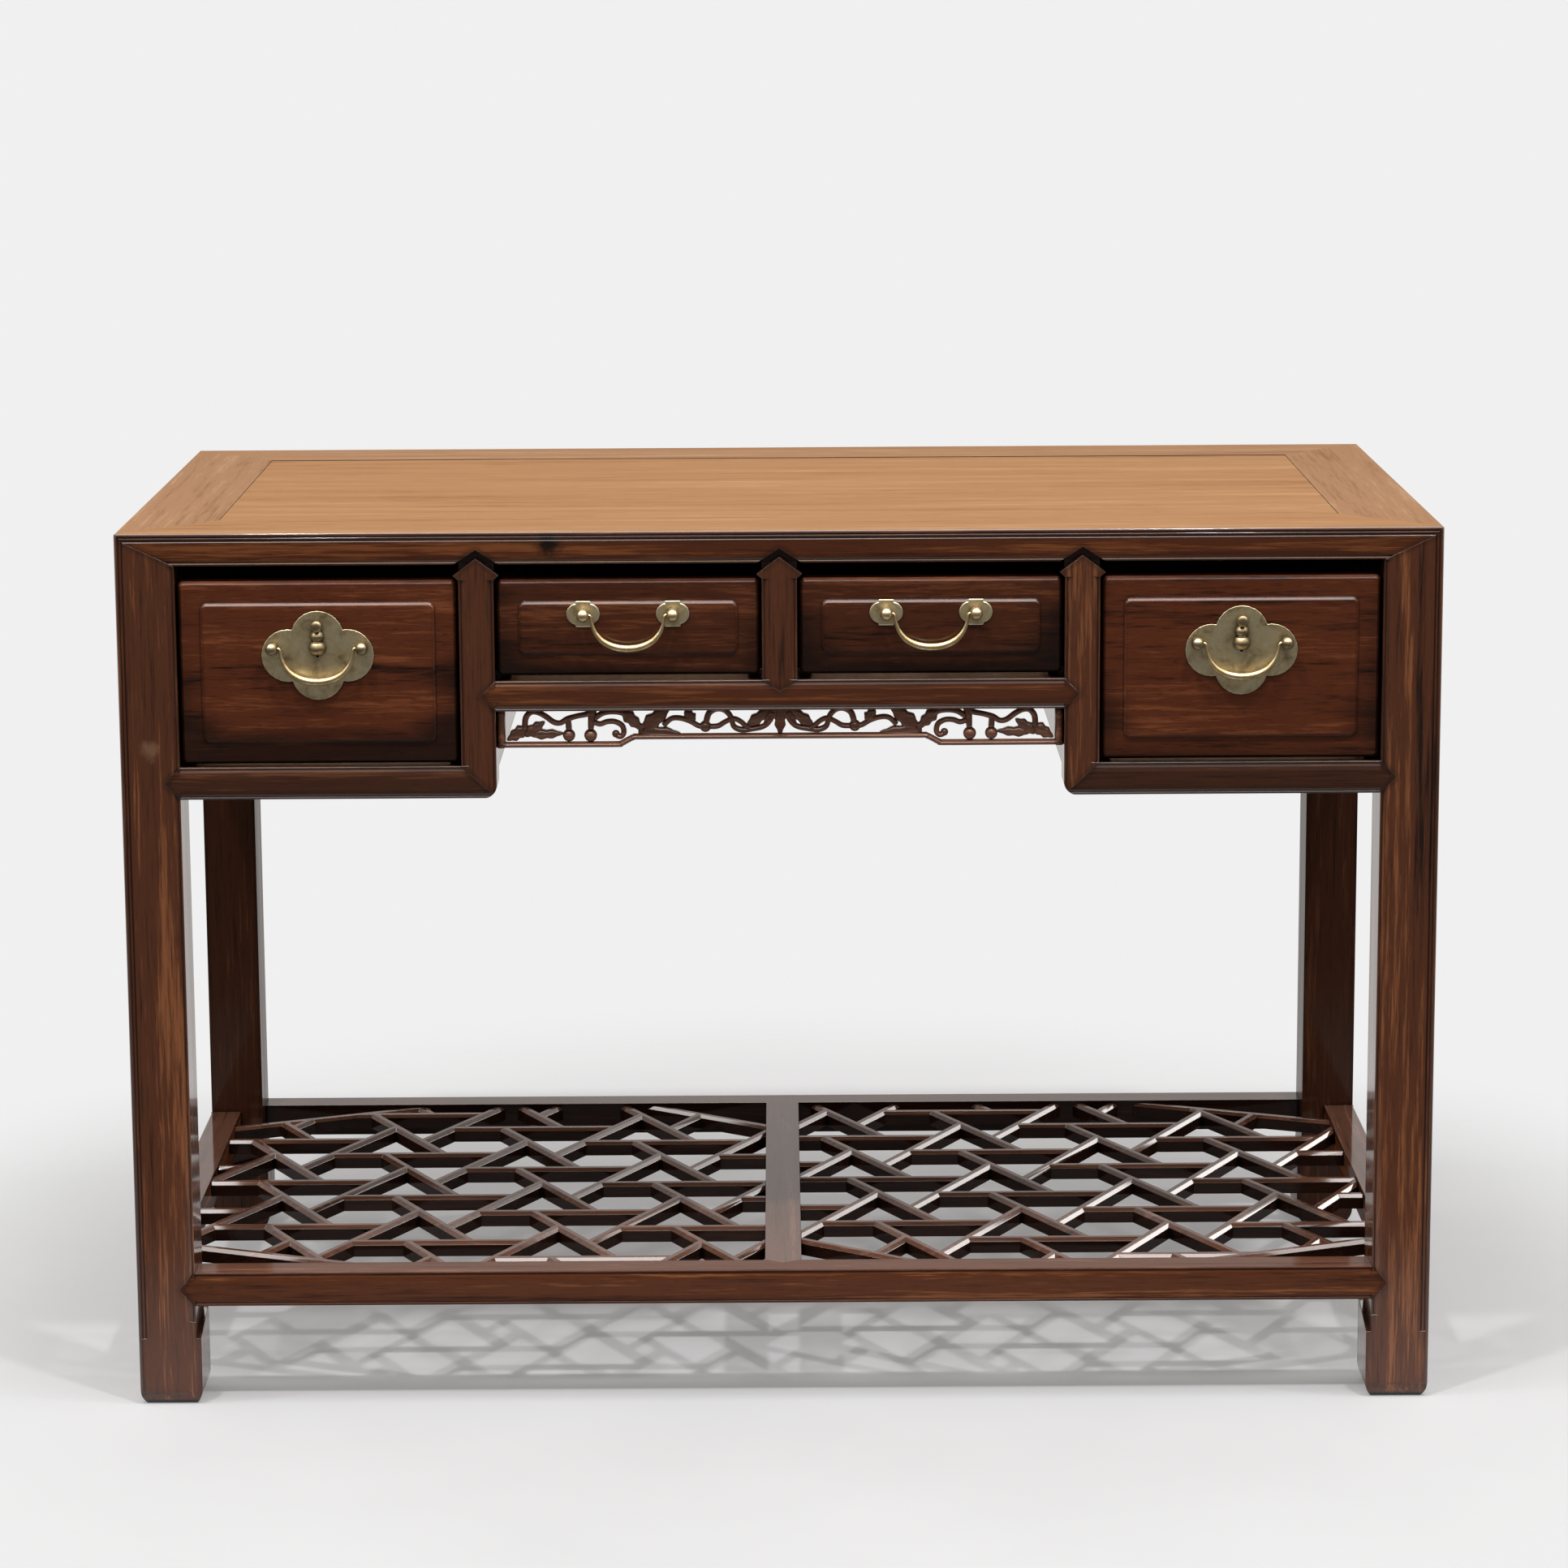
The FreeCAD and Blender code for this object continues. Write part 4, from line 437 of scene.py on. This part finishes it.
# Brass: its uses, each with tones from tarnished to bright and a roughness
BRASSES = {
    "plate": (((118, 104, 78), (182, 167, 132), (214, 202, 168)), 0.42),
    "post": (((92, 79, 58), (142, 126, 96), (178, 162, 130)), 0.36),
    "handle": (((150, 128, 90), (196, 173, 129), (220, 200, 162)), 0.34),
    "lock": (((84, 74, 54), (120, 106, 78), (150, 134, 100)), 0.5),
}
BRASS_STOPS = (0.32, 0.5, 0.68)
BRASS_CLOUD = (60.0, 5.0, 0.6, 0.4)
BRASS_DULLER = 0.14
SCRATCH = (900.0, 3.0, 0.6)
SCRATCH_STRENGTH = 0.06
SCRATCH_DEPTH = 0.3 * MM
# Brass hollows and round the posts, knob and gourd: tarnish and painted shade.
TARNISH_AND_SHADE = (60, 49, 34)
TARNISH_AND_SHADE_REACH = 8 * MM
# Edges lighter: rubbed brass and a painted highlight.
RUBBED_BRASS_AND_HIGHLIGHT = (246, 236, 206)
RUBBED_HIGHLIGHT_REACH = 1.2 * MM
RUBBED_HIGHLIGHT_SHARE = 0.8


def brass(name, tones, roughness):
    """Old brass: mottled tarnish over bright metal, darker in the crevices from tarnish and painted shade,
    and lighter on the edges from rubbing and a painted highlight.
    """
    tree = Tree(bpy.data.materials.new(name))
    place = tree.place()
    cloud = tree.noise(place, *BRASS_CLOUD)
    colour = tree.ramp(cloud, list(zip(BRASS_STOPS, tones)))
    # Hollows darker: tarnish and painted shade.
    colour = crevice_dirt_and_painted_shade(tree, colour, TARNISH_AND_SHADE_REACH, TARNISH_AND_SHADE)
    # Edges lighter: rubbing and a painted highlight.
    colour = tree.mix(along_edges(tree, RUBBED_HIGHLIGHT_REACH, RUBBED_HIGHLIGHT_SHARE), colour, shade(RUBBED_BRASS_AND_HIGHLIGHT))
    scratches = tree.bump(tree.noise(place, *SCRATCH), SCRATCH_STRENGTH, SCRATCH_DEPTH)
    tree.surface(Base_Color=colour, Metallic=1.0, Normal=scratches,
                 Roughness=tree.fade(cloud, *GLOSS_FADE, roughness + BRASS_DULLER, roughness))
    return tree.owner


# Brass fittings, drawn smooth in millimetres round the pivots of their joints
ROUND_SIDES = 24
CURVE_STEPS = 4
BAIL_STEPS = 5
POST_SPREAD = 40.5
POST_STAND = 9.2
BALL = 5.8
# Degrees from the front of a ball at which its outline is drawn.
BALL_TURNS = range(2, 150, 10)
# Radius and depth of a post from its neck to the plate.
COLLAR = ((2.5, 5.2), (2.5, 6.2), (4.0, 6.9), (4.6, 7.8), (4.6, POST_STAND))
SHANK_BEHIND = 31.6
SHANK_THICKNESS = 1.5
SHANK_LEGS = (26.0, SHANK_THICKNESS, 3.6)
CLOUD_LOBE = 9.6
CLOUD_OFFSET = 5.4
CLOUD_TAB = (7.0, 11.8)
CLOUD_STEPS = 14
PLATE_THICKNESS = 1.4
PLATE_RIM = 0.7
# Half of a bail from its end to its middle: sideways, height and radius.
BAIL_PATH = ((36.6, 0.0, 1.2), (34.6, 0.2, 1.3), (33.3, -1.2, 1.4), (32.8, -4.0, 1.45), (31.9, -8.6, 1.6),
             (28.8, -16.2, 2.1), (22.2, -23.8, 2.8), (12.0, -28.8, 3.2), (0.0, -30.4, 3.3))
# Half outline of the gourd from its neck down, and of the knob that holds it from the plate outwards.
GOURD = ((2.4, -2.0), (2.8, -4.6), (4.9, -6.4), (6.4, -9.8), (5.4, -13.0), (4.0, -14.6), (6.2, -16.0),
         (7.9, -19.4), (7.8, -22.4), (5.7, -25.6), (2.8, -26.9), (0.1, -27.0))
PIN_KNOB = ((2.6, 0.6), (2.9, -2.6), (4.7, -3.6), (5.4, -5.6), (4.9, -7.6), (3.0, -8.9), (0.1, -9.2))


def curve_through(points, steps=CURVE_STEPS):
    """Points of a smooth curve through a chain of points."""
    spots = [Vector(point) for point in points]
    spots = [spots[0], *spots, spots[-1]]
    chain = []
    for before, start, end, after in zip(spots, spots[1:], spots[2:], spots[3:]):
        for step in range(steps):
            share = step / steps
            chain.append(start + (end - before) * (share / 2)
                         + (before * 2 - start * 5 + end * 4 - after) * (share * share / 2)
                         + (start * 3 - before - end * 3 + after) * (share ** 3 / 2))
    return chain + [spots[-1]]


def skin(shape, rings, closed=True, smooth=True):
    """Joins rings of points with faces, and closes both ends. Rings that aren't closed get a flat side."""
    rings = [[shape.verts.new(point) for point in ring] for ring in rings]
    count = len(rings[0])
    for ring, following in zip(rings, rings[1:]):
        for index in range(count if closed else count - 1):
            beside = (index + 1) % count
            face = shape.faces.new((ring[index], ring[beside], following[beside], following[index]))
            face.smooth = smooth
        if not closed:
            shape.faces.new((ring[-1], ring[0], following[0], following[-1]))
    for ring in (rings[0], rings[-1]):
        shape.faces.new(ring)


def ball_profile(radius, degrees, way):
    """Radius and distance along the axis on the outline of a ball, from one end towards the other."""
    angles = [math.radians(angle) for angle in degrees]
    return [(radius * math.sin(angle), way * radius * math.cos(angle)) for angle in angles]


def turn_piece(shape, profile, place, axis, half=False):
    """A turned piece from a chain of radius and distance along Y or Z; half leaves only its front half."""
    sides = ROUND_SIDES // 2 + 1 if half else ROUND_SIDES
    sweep = math.pi / (sides - 1) if half else 2 * math.pi / sides
    turns = [math.pi + sweep * index for index in range(sides)]
    rings = []
    for radius, along in profile:
        flat = [(radius * math.cos(turn), radius * math.sin(turn)) for turn in turns]
        ring = [(x, along, y) if axis == "Y" else (x, y, along) for x, y in flat]
        rings.append([Vector(place) + Vector(point) for point in ring])
    skin(shape, rings, closed=not half)


def add_posts(shape):
    """Ball, neck and collar of both posts, and the legs of their split shanks behind the drawer front."""
    for side in SIDES:
        profile = [*ball_profile(BALL, BALL_TURNS, -1), *COLLAR]
        turn_piece(shape, profile, (POST_SPREAD * side, 0, 0), "Y")
        legs = bmesh.ops.create_cube(shape, size=1.0)["verts"]
        bmesh.ops.scale(shape, verts=legs, vec=SHANK_LEGS)
        behind = SHANK_BEHIND + SHANK_THICKNESS / 2
        bmesh.ops.translate(shape, verts=legs, vec=(POST_SPREAD * side, behind, 0))


def cloud_outline():
    """Outline of a small plate: a lobe left and right, a tab above and below."""
    half_tab, half_height = CLOUD_TAB
    opening = math.acos((half_tab - CLOUD_OFFSET) / CLOUD_LOBE)
    turns = [opening - 2 * opening * step / CLOUD_STEPS for step in range(CLOUD_STEPS + 1)]
    lobe = [(CLOUD_OFFSET + CLOUD_LOBE * math.cos(turn), CLOUD_LOBE * math.sin(turn)) for turn in turns]
    half = [(half_tab - PLATE_RIM, half_height), (half_tab, half_height - PLATE_RIM), *lobe,
            (half_tab, PLATE_RIM - half_height), (half_tab - PLATE_RIM, -half_height)]
    return half + [(-x, -z) for x, z in half]


def add_cloud_plates(shape):
    """A small plate under each post, with a bevelled rim."""
    inset = 1 - PLATE_RIM / CLOUD_TAB[1]
    layers = ((1.0, POST_STAND + PLATE_THICKNESS), (1.0, POST_STAND + PLATE_RIM / 2), (inset, POST_STAND))
    for side in SIDES:
        middle = POST_SPREAD * side
        rings = [[(middle + x * grow, y, z * grow) for x, z in cloud_outline()] for grow, y in layers]
        skin(shape, rings, smooth=False)


def add_bar(shape, chain, depth=None):
    """A rounded bar along a chain of sideways place, height and radius, with a depth of its own if given."""
    turns = [2 * math.pi * step / ROUND_SIDES for step in range(ROUND_SIDES)]
    rings = []
    for index, (x, z, radius) in enumerate(chain):
        before = chain[max(index - 1, 0)]
        after = chain[min(index + 1, len(chain) - 1)]
        along = Vector((after[0] - before[0], 0, after[1] - before[1])).normalized()
        sideways = Vector((-along.z, 0, along.x)) * radius
        inward = Vector((0, depth or radius, 0))
        middle = Vector((x, 0, z))
        rings.append([middle + sideways * math.cos(turn) + inward * math.sin(turn) for turn in turns])
    skin(shape, rings)


def add_bail(shape):
    """A hanging handle, thickest at the bottom, with its ends turned out into the posts."""
    mirrored = [(-x, z, radius) for x, z, radius in BAIL_PATH[-2::-1]]
    add_bar(shape, curve_through([*BAIL_PATH, *mirrored], BAIL_STEPS))


def finish_piece(name, shape, pivot, materials, body, replaced):
    """Turns a drawn piece into an object at its pivot, in place of a CAD node."""
    bmesh.ops.recalc_face_normals(shape, faces=shape.faces)
    bmesh.ops.scale(shape, verts=shape.verts, vec=(MM, MM, MM))
    mesh = bpy.data.meshes.new(name)
    shape.to_mesh(mesh)
    shape.free()
    for material in materials:
        mesh.materials.append(material)
    piece = bpy.data.objects.new(name, mesh)
    bpy.context.scene.collection.objects.link(piece)
    piece.location = pivot
    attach(piece, body)
    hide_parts(replaced)


def dress_shallow_fittings(drawer, pivot, metals):
    """Ball posts on small plates."""
    used = [metals["plate"], metals["handle"]]
    shape = bmesh.new()
    add_posts(shape)
    for face in shape.faces:
        face.material_index = used.index(metals["handle"])
    add_cloud_plates(shape)
    finish_piece(f"{drawer}_smooth_mounts", shape, pivot, used, drawer, f"{drawer}_handle_mounts")


def dress_deep_fittings(drawer, pivot, metals):
    """Ball posts and a knob on the large plate, the gourd that hangs from the knob, and the lock."""
    drop = drawer.replace("drawer", "drop")
    hung = pivots[f"{drop}_swing"]
    shape = bmesh.new()
    add_posts(shape)
    turn_piece(shape, curve_through(PIN_KNOB), (hung - pivot) / MM, "Y")
    finish_piece(f"{drawer}_smooth_posts", shape, pivot, [metals["post"]], drawer, f"{drawer}_posts")
    shape = bmesh.new()
    turn_piece(shape, curve_through(GOURD), (0, 0, 0), "Z", half=True)
    finish_piece(f"{drawer}_smooth_gourd", shape, hung, [metals["post"]], drop, f"{drawer}_keyhole_cover")
    finish_node(f"{drawer}_plate", metals["plate"], PLATE_BREAK, ROUND_STEPS)
    finish_node(f"{drawer}_lock", metals["lock"], LOCK_BREAK)


def dress_brass():
    metals = {use: brass(f"{use}_brass", *finish) for use, finish in BRASSES.items()}
    for drawer in DEEP_DRAWERS + SHALLOW_DRAWERS:
        bail = drawer.replace("drawer", "bail")
        pivot = pivots[f"{bail}_swing"]
        shape = bmesh.new()
        add_bail(shape)
        finish_piece(f"{drawer}_smooth_bail", shape, pivot, [metals["handle"]], bail, f"{drawer}_bail")
        if drawer in DEEP_DRAWERS:
            dress_deep_fittings(drawer, pivot, metals)
        else:
            dress_shallow_fittings(drawer, pivot, metals)


# Carved apron: half of its vine in millimetres, out from the desk's middle and down from the centre rail.
VINE_DEPTH = 4.4
# Stems: chains of distance out, distance down and radius, and how much thicker they are drawn.
STEM_SWELL = 1.15
STEMS = (
    ((232.5, 18.6, 2.4), (231.6, 8.7, 2.5), (227, 3.2, 2.4), (220.8, 3.2, 2.3), (213.6, 6.9, 2.3),
     (206.3, 12.3, 2.3), (200, 13.2, 2.2), (193.7, 9.6, 2.4), (184.7, 6.9, 2.2), (175.7, 5, 2.4),
     (171, 1, 3)),
    ((193, 8, 2.4), (192.3, 19, 2.6)),
    ((171, 0, 4), (171.4, 8, 3.2), (172.4, 19, 2.4)),
    ((170.2, 12.3, 2.2), (164, 14.4, 2.2), (157.6, 12.3, 2.2), (150.4, 12.3, 2.2), (144, 15.9, 2.3),
     (142.3, 22.2, 2.3), (145, 26, 2.2), (148.6, 25, 2.4)),
    ((168.4, 8.7, 2.4), (161.2, 4.2, 2.4), (152.2, 2.9, 2.4), (143.2, 4.2, 2.6), (135.9, 9.6, 3),
     (130.5, 15, 3), (125, 19, 2.8)),
    ((106, 16, 2.2), (99, 9.8, 2.2), (90.8, 9.4, 2.2), (81.8, 12.3, 2.2), (74.6, 16.4, 2.2),
     (68.3, 17.7, 2.2)),
    ((67.5, 14, 2.5), (64.7, 5, 2.6), (58.3, 1, 2.5), (51.1, 1.8, 2.4), (45.7, 6.9, 2.3), (43.9, 12.3, 2.2),
     (41.7, 17.7, 2.3), (34.9, 20.4, 2.4), (24, 19.4, 2.3), (15, 17.2, 2.3), (9.6, 12.3, 2.3), (7, 4, 2.5)),
    ((63.8, 17.3, 2.2), (56.5, 16.8, 2.2), (50.2, 13.2, 2.1), (43, 10.1, 2.1), (36.7, 12.3, 2.1),
     (31.3, 16.8, 2.1), (26, 20.4, 2.2)),
)
# Leaves: root, tip and width.
LEAVES = (
    ((230, 17), (249, 29), 11), ((233, 25), (214, 12), 10), ((228, 24), (197, 23), 8.5),
    ((144, 2), (126, 19), 11), ((126, 20), (100, -1), 14), ((130, 21), (90, 24), 11),
    ((78, 13), (87, 2.5), 10.5),
    ((30, 17), (8, 0.5), 10), ((2, 0), (15, 16), 9), ((0, -1), (0.5, 25), 10),
)
LEAF_STEPS = 12
LEAF_ENDS = 0.02
LEAF_LEAN = 0.8
LEAF_FULLNESS = 0.7
LEAF_LOBES = 3
LEAF_SCALLOP = 0.16
LEAF_THICKNESS = 1.8
LEAF_CROWN = 2.6
LEAF_VEIN = 1.2
LEAF_VEIN_WIDTH = 0.16
LEAF_ACROSS = (-1.0, -0.75, -0.4, -0.12, 0.0, 0.12, 0.4, 0.75, 1.0)
# Fruits: middle and radius, and the degrees from the top at which their outline is drawn.
FRUITS = ((192.3, 24.6, 5.8), (172.6, 24.8, 6.0), (149.6, 23.6, 3.6), (68, 17, 5.4))
FRUIT_TURNS = range(4, 180, 12)
# The rim below the vine steps up towards the middle; a post stands at its end.
RIM = ((257, 33.2, 2.7), (200, 33.2, 2.7), (150, 33.2, 2.7), (145, 32.6, 2.7), (139, 29.4, 2.7),
       (133.5, 26.8, 2.7), (128, 26.2, 2.7), (64, 26.2, 2.7), (0, 26.2, 2.7))
END_POST = ((254, 0.5, 4.0), (254, 35.5, 4.0))
CARVED_EDGE = 0.8 * MM
CARVED_BORDER = 1.0 * MM
CARVED_CREVICE = 2 * MM


def add_leaf(shape, root, tip, width):
    """A leaf with a scalloped outline, crowned on its front and sunk along its vein."""
    along = tip - root
    sideways = Vector((-along.z, 0, along.x)).normalized() * (width / 2)
    rings = []
    for step in range(LEAF_STEPS + 1):
        share = LEAF_ENDS + (1 - 2 * LEAF_ENDS) * step / LEAF_STEPS
        swell = math.sin(math.pi * share ** LEAF_LEAN) ** LEAF_FULLNESS
        spread = swell * (1 + LEAF_SCALLOP * math.cos(2 * math.pi * LEAF_LOBES * share))
        middle = root + along * share
        ring = []
        for place in LEAF_ACROSS:
            crown = LEAF_CROWN * swell * (1 - place * place)
            vein = LEAF_VEIN * swell * math.exp(-(place / LEAF_VEIN_WIDTH) ** 2)
            rise = LEAF_THICKNESS + crown - vein
            ring.append(middle + sideways * (place * spread) - Vector((0, rise, 0)))
        for place in (LEAF_ACROSS[-1], LEAF_ACROSS[0]):
            ring.append(middle + sideways * (place * spread) + Vector((0, VINE_DEPTH, 0)))
        rings.append(ring)
    skin(shape, rings)


def add_half_vine(shape, side, half_depth):
    """Stems, leaves, fruits, rim and end post on one side of the middle."""
    def spot(out, down):
        return Vector((out * side, 0, -down))

    def chain(points, swell=1.0):
        return curve_through([(out * side, -down, radius * swell) for out, down, radius in points])

    for stem in STEMS:
        add_bar(shape, chain(stem, STEM_SWELL), VINE_DEPTH)
    for root, tip, width in LEAVES:
        add_leaf(shape, spot(*root), spot(*tip), width)
    for out, down, radius in FRUITS:
        turn_piece(shape, ball_profile(radius, FRUIT_TURNS, 1), spot(out, down), "Z")
    for bar in (RIM, END_POST):
        add_bar(shape, chain(bar), half_depth)


def dress_apron():
    """The openwork vine under the centre rail, carved round, with its rim and end posts."""
    low, high = (Vector(corner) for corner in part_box("carved_apron"))
    shape = bmesh.new()
    for side in SIDES:
        add_half_vine(shape, side, (high.y - low.y) / 2 / MM)
    place = ((low.x + high.x) / 2, (low.y + high.y) / 2, high.z)
    material = wood("wood_carved_apron", "X", len(STEMS), CARVED_WOOD, edge=CARVED_EDGE,
                    border=CARVED_BORDER, crevice=CARVED_CREVICE)
    finish_piece("carved_vine", shape, place, [material], "carcass", "carved_apron")


# Camera: the photograph's, found from the desk's corners
PHOTO_SIDE = 1932
PRINCIPAL_ROW = 792
FOCAL_PIXELS = 5374.8
SENSOR = 36.0
CAMERA_PLACE = (0.0, -4.1885, 1.3843)
CAMERA_PITCH = 0.16992
CAMERA_YAW = -0.00102
CAMERA_ROLL = -0.0058

# Room: how bright it is in front, behind and above, and where one goes over into the other
BACKDROP = (240, 240, 240)
ROOM = (240, 237, 234)
FRONT_DIM = 0.15
BEHIND = 0.8
BEHIND_FADE = (-0.5, 0.35)
SKY = 0.75
SKY_FADE = (-0.05, 0.5)
# Lamps that only glints show: one overhead, and one behind on the right.
GLINT = 10.0
GLINT_CONE = (0.62, 0.85)
RIM_GLINT = 14.0
RIM_GLINT_WAY = (0.76, 0.52, 0.38)
RIM_GLINT_CONE = (0.95, 0.99)

# Lights: watts and place of the key lights on the right, each with a twin on the left, and the softbox
SIDE_KEY = (45, (5.0, -1.5, 4.0))
FRONT_KEY = (82, (1.6, -2.2, 5.2))
KEY_SIZE = (0.25, 0.25)
KEY_AIM = (0, 0, 0.4)
SOFTBOX_WATTS = 55
SOFTBOX_PLACE = (0, -0.7, 3.9)
SOFTBOX_SIZE = (3.2, 1.0)
SOFTBOX_AIM = (0, 0, 0.5)

# Floor
FLOOR_MIDDLE = (0, 0.05, 0)
FLOOR_SIDES = 96
FLOOR_FADE = (0.7, 1.15)
FLOOR_GLOW = 0.18
FLOOR_CLOUD = (3.0, 3.0)
FLOOR_STOPS = ((0.3, (178, 178, 179)), (0.7, (183, 183, 184)))
FLOOR_ROUGHNESS = 0.9
WHITE = (1.0, 1.0, 1.0, 1.0)


def make_camera():
    data = bpy.data.cameras.new("camera")
    data.sensor_width = SENSOR
    data.lens = FOCAL_PIXELS / PHOTO_SIDE * SENSOR
    data.shift_y = (PRINCIPAL_ROW - PHOTO_SIDE / 2) / PHOTO_SIDE
    camera = bpy.data.objects.new("camera", data)
    bpy.context.scene.collection.objects.link(camera)
    turn = Euler((math.pi / 2 - CAMERA_PITCH, 0, CAMERA_YAW)).to_matrix()
    roll = Matrix.Rotation(CAMERA_ROLL, 3, "Z")
    camera.matrix_world = Matrix.Translation(CAMERA_PLACE) @ (turn @ roll).to_4x4()
    bpy.context.scene.camera = camera


def make_floor():
    """A pale round floor that fades out into the backdrop."""
    tree = Tree(bpy.data.materials.new("studio_floor"))
    place = tree.place()
    tree.surface(Base_Color=tree.ramp(tree.noise(place, *FLOOR_CLOUD), FLOOR_STOPS),
                 Roughness=FLOOR_ROUGHNESS, Specular_IOR_Level=0.0,
                 Emission_Color=WHITE, Emission_Strength=FLOOR_GLOW,
                 Alpha=tree.fade(tree.vector("LENGTH", place), *FLOOR_FADE, 1.0, 0.0))
    mesh = bpy.data.meshes.new("floor")
    shape = bmesh.new()
    bmesh.ops.create_circle(shape, cap_ends=True, segments=FLOOR_SIDES, radius=FLOOR_FADE[1])
    shape.to_mesh(mesh)
    shape.free()
    mesh.materials.append(tree.owner)
    floor = bpy.data.objects.new("floor", mesh)
    floor.location = FLOOR_MIDDLE
    bpy.context.scene.collection.objects.link(floor)


def make_world():
    """A pale backdrop for the camera; light falls from above and behind, little from the camera's side."""
    world = bpy.data.worlds.new("studio")
    bpy.context.scene.world = world
    tree = Tree(world)
    way = tree.add("TexCoord").outputs["Generated"]
    towards = tree.split(way)
    behind = tree.fade(towards["Y"], *BEHIND_FADE, FRONT_DIM, BEHIND)
    above = tree.fade(towards["Z"], *SKY_FADE, 0.0, SKY)
    overhead = tree.fade(towards["Z"], *GLINT_CONE, 0.0, GLINT)
    rim = tree.fade(tree.vector("DOT_PRODUCT", way, RIM_GLINT_WAY), *RIM_GLINT_CONE, 0.0, RIM_GLINT)
    path = tree.add("LightPath").outputs
    glint = tree.math("MULTIPLY", tree.math("ADD", overhead, rim), path["Is Glossy Ray"])
    level = tree.math("ADD", tree.math("MAXIMUM", behind, above), glint)
    room = tree.add("Background", {"Color": shade(ROOM), "Strength": level})
    backdrop = tree.add("Background", {"Color": shade(BACKDROP), "Strength": 1.0})
    chosen = tree.add("MixShader", {0: path["Is Camera Ray"], 1: room.outputs[0], 2: backdrop.outputs[0]})
    tree.links.new(chosen.outputs[0], tree.nodes["World Output"].inputs["Surface"])


def area_light(name, place, aim, size, watts):
    data = bpy.data.lights.new(name, "AREA")
    data.shape = "RECTANGLE"
    data.size, data.size_y = size
    data.energy = watts
    light = bpy.data.objects.new(name, data)
    bpy.context.scene.collection.objects.link(light)
    light.location = place
    light.rotation_euler = (Vector(aim) - Vector(place)).to_track_quat("-Z", "Y").to_euler()


def make_studio():
    make_camera()
    make_floor()
    make_world()
    for watts, (out, ahead, height) in (SIDE_KEY, FRONT_KEY):
        for side in SIDES:
            area_light("key", (out * side, ahead, height), KEY_AIM, KEY_SIZE, watts)
    area_light("softbox", SOFTBOX_PLACE, SOFTBOX_AIM, SOFTBOX_SIZE, SOFTBOX_WATTS)
    bpy.context.scene.view_settings.view_transform = "Standard"


dress_wood()
dress_brass()
dress_apron()
make_studio()
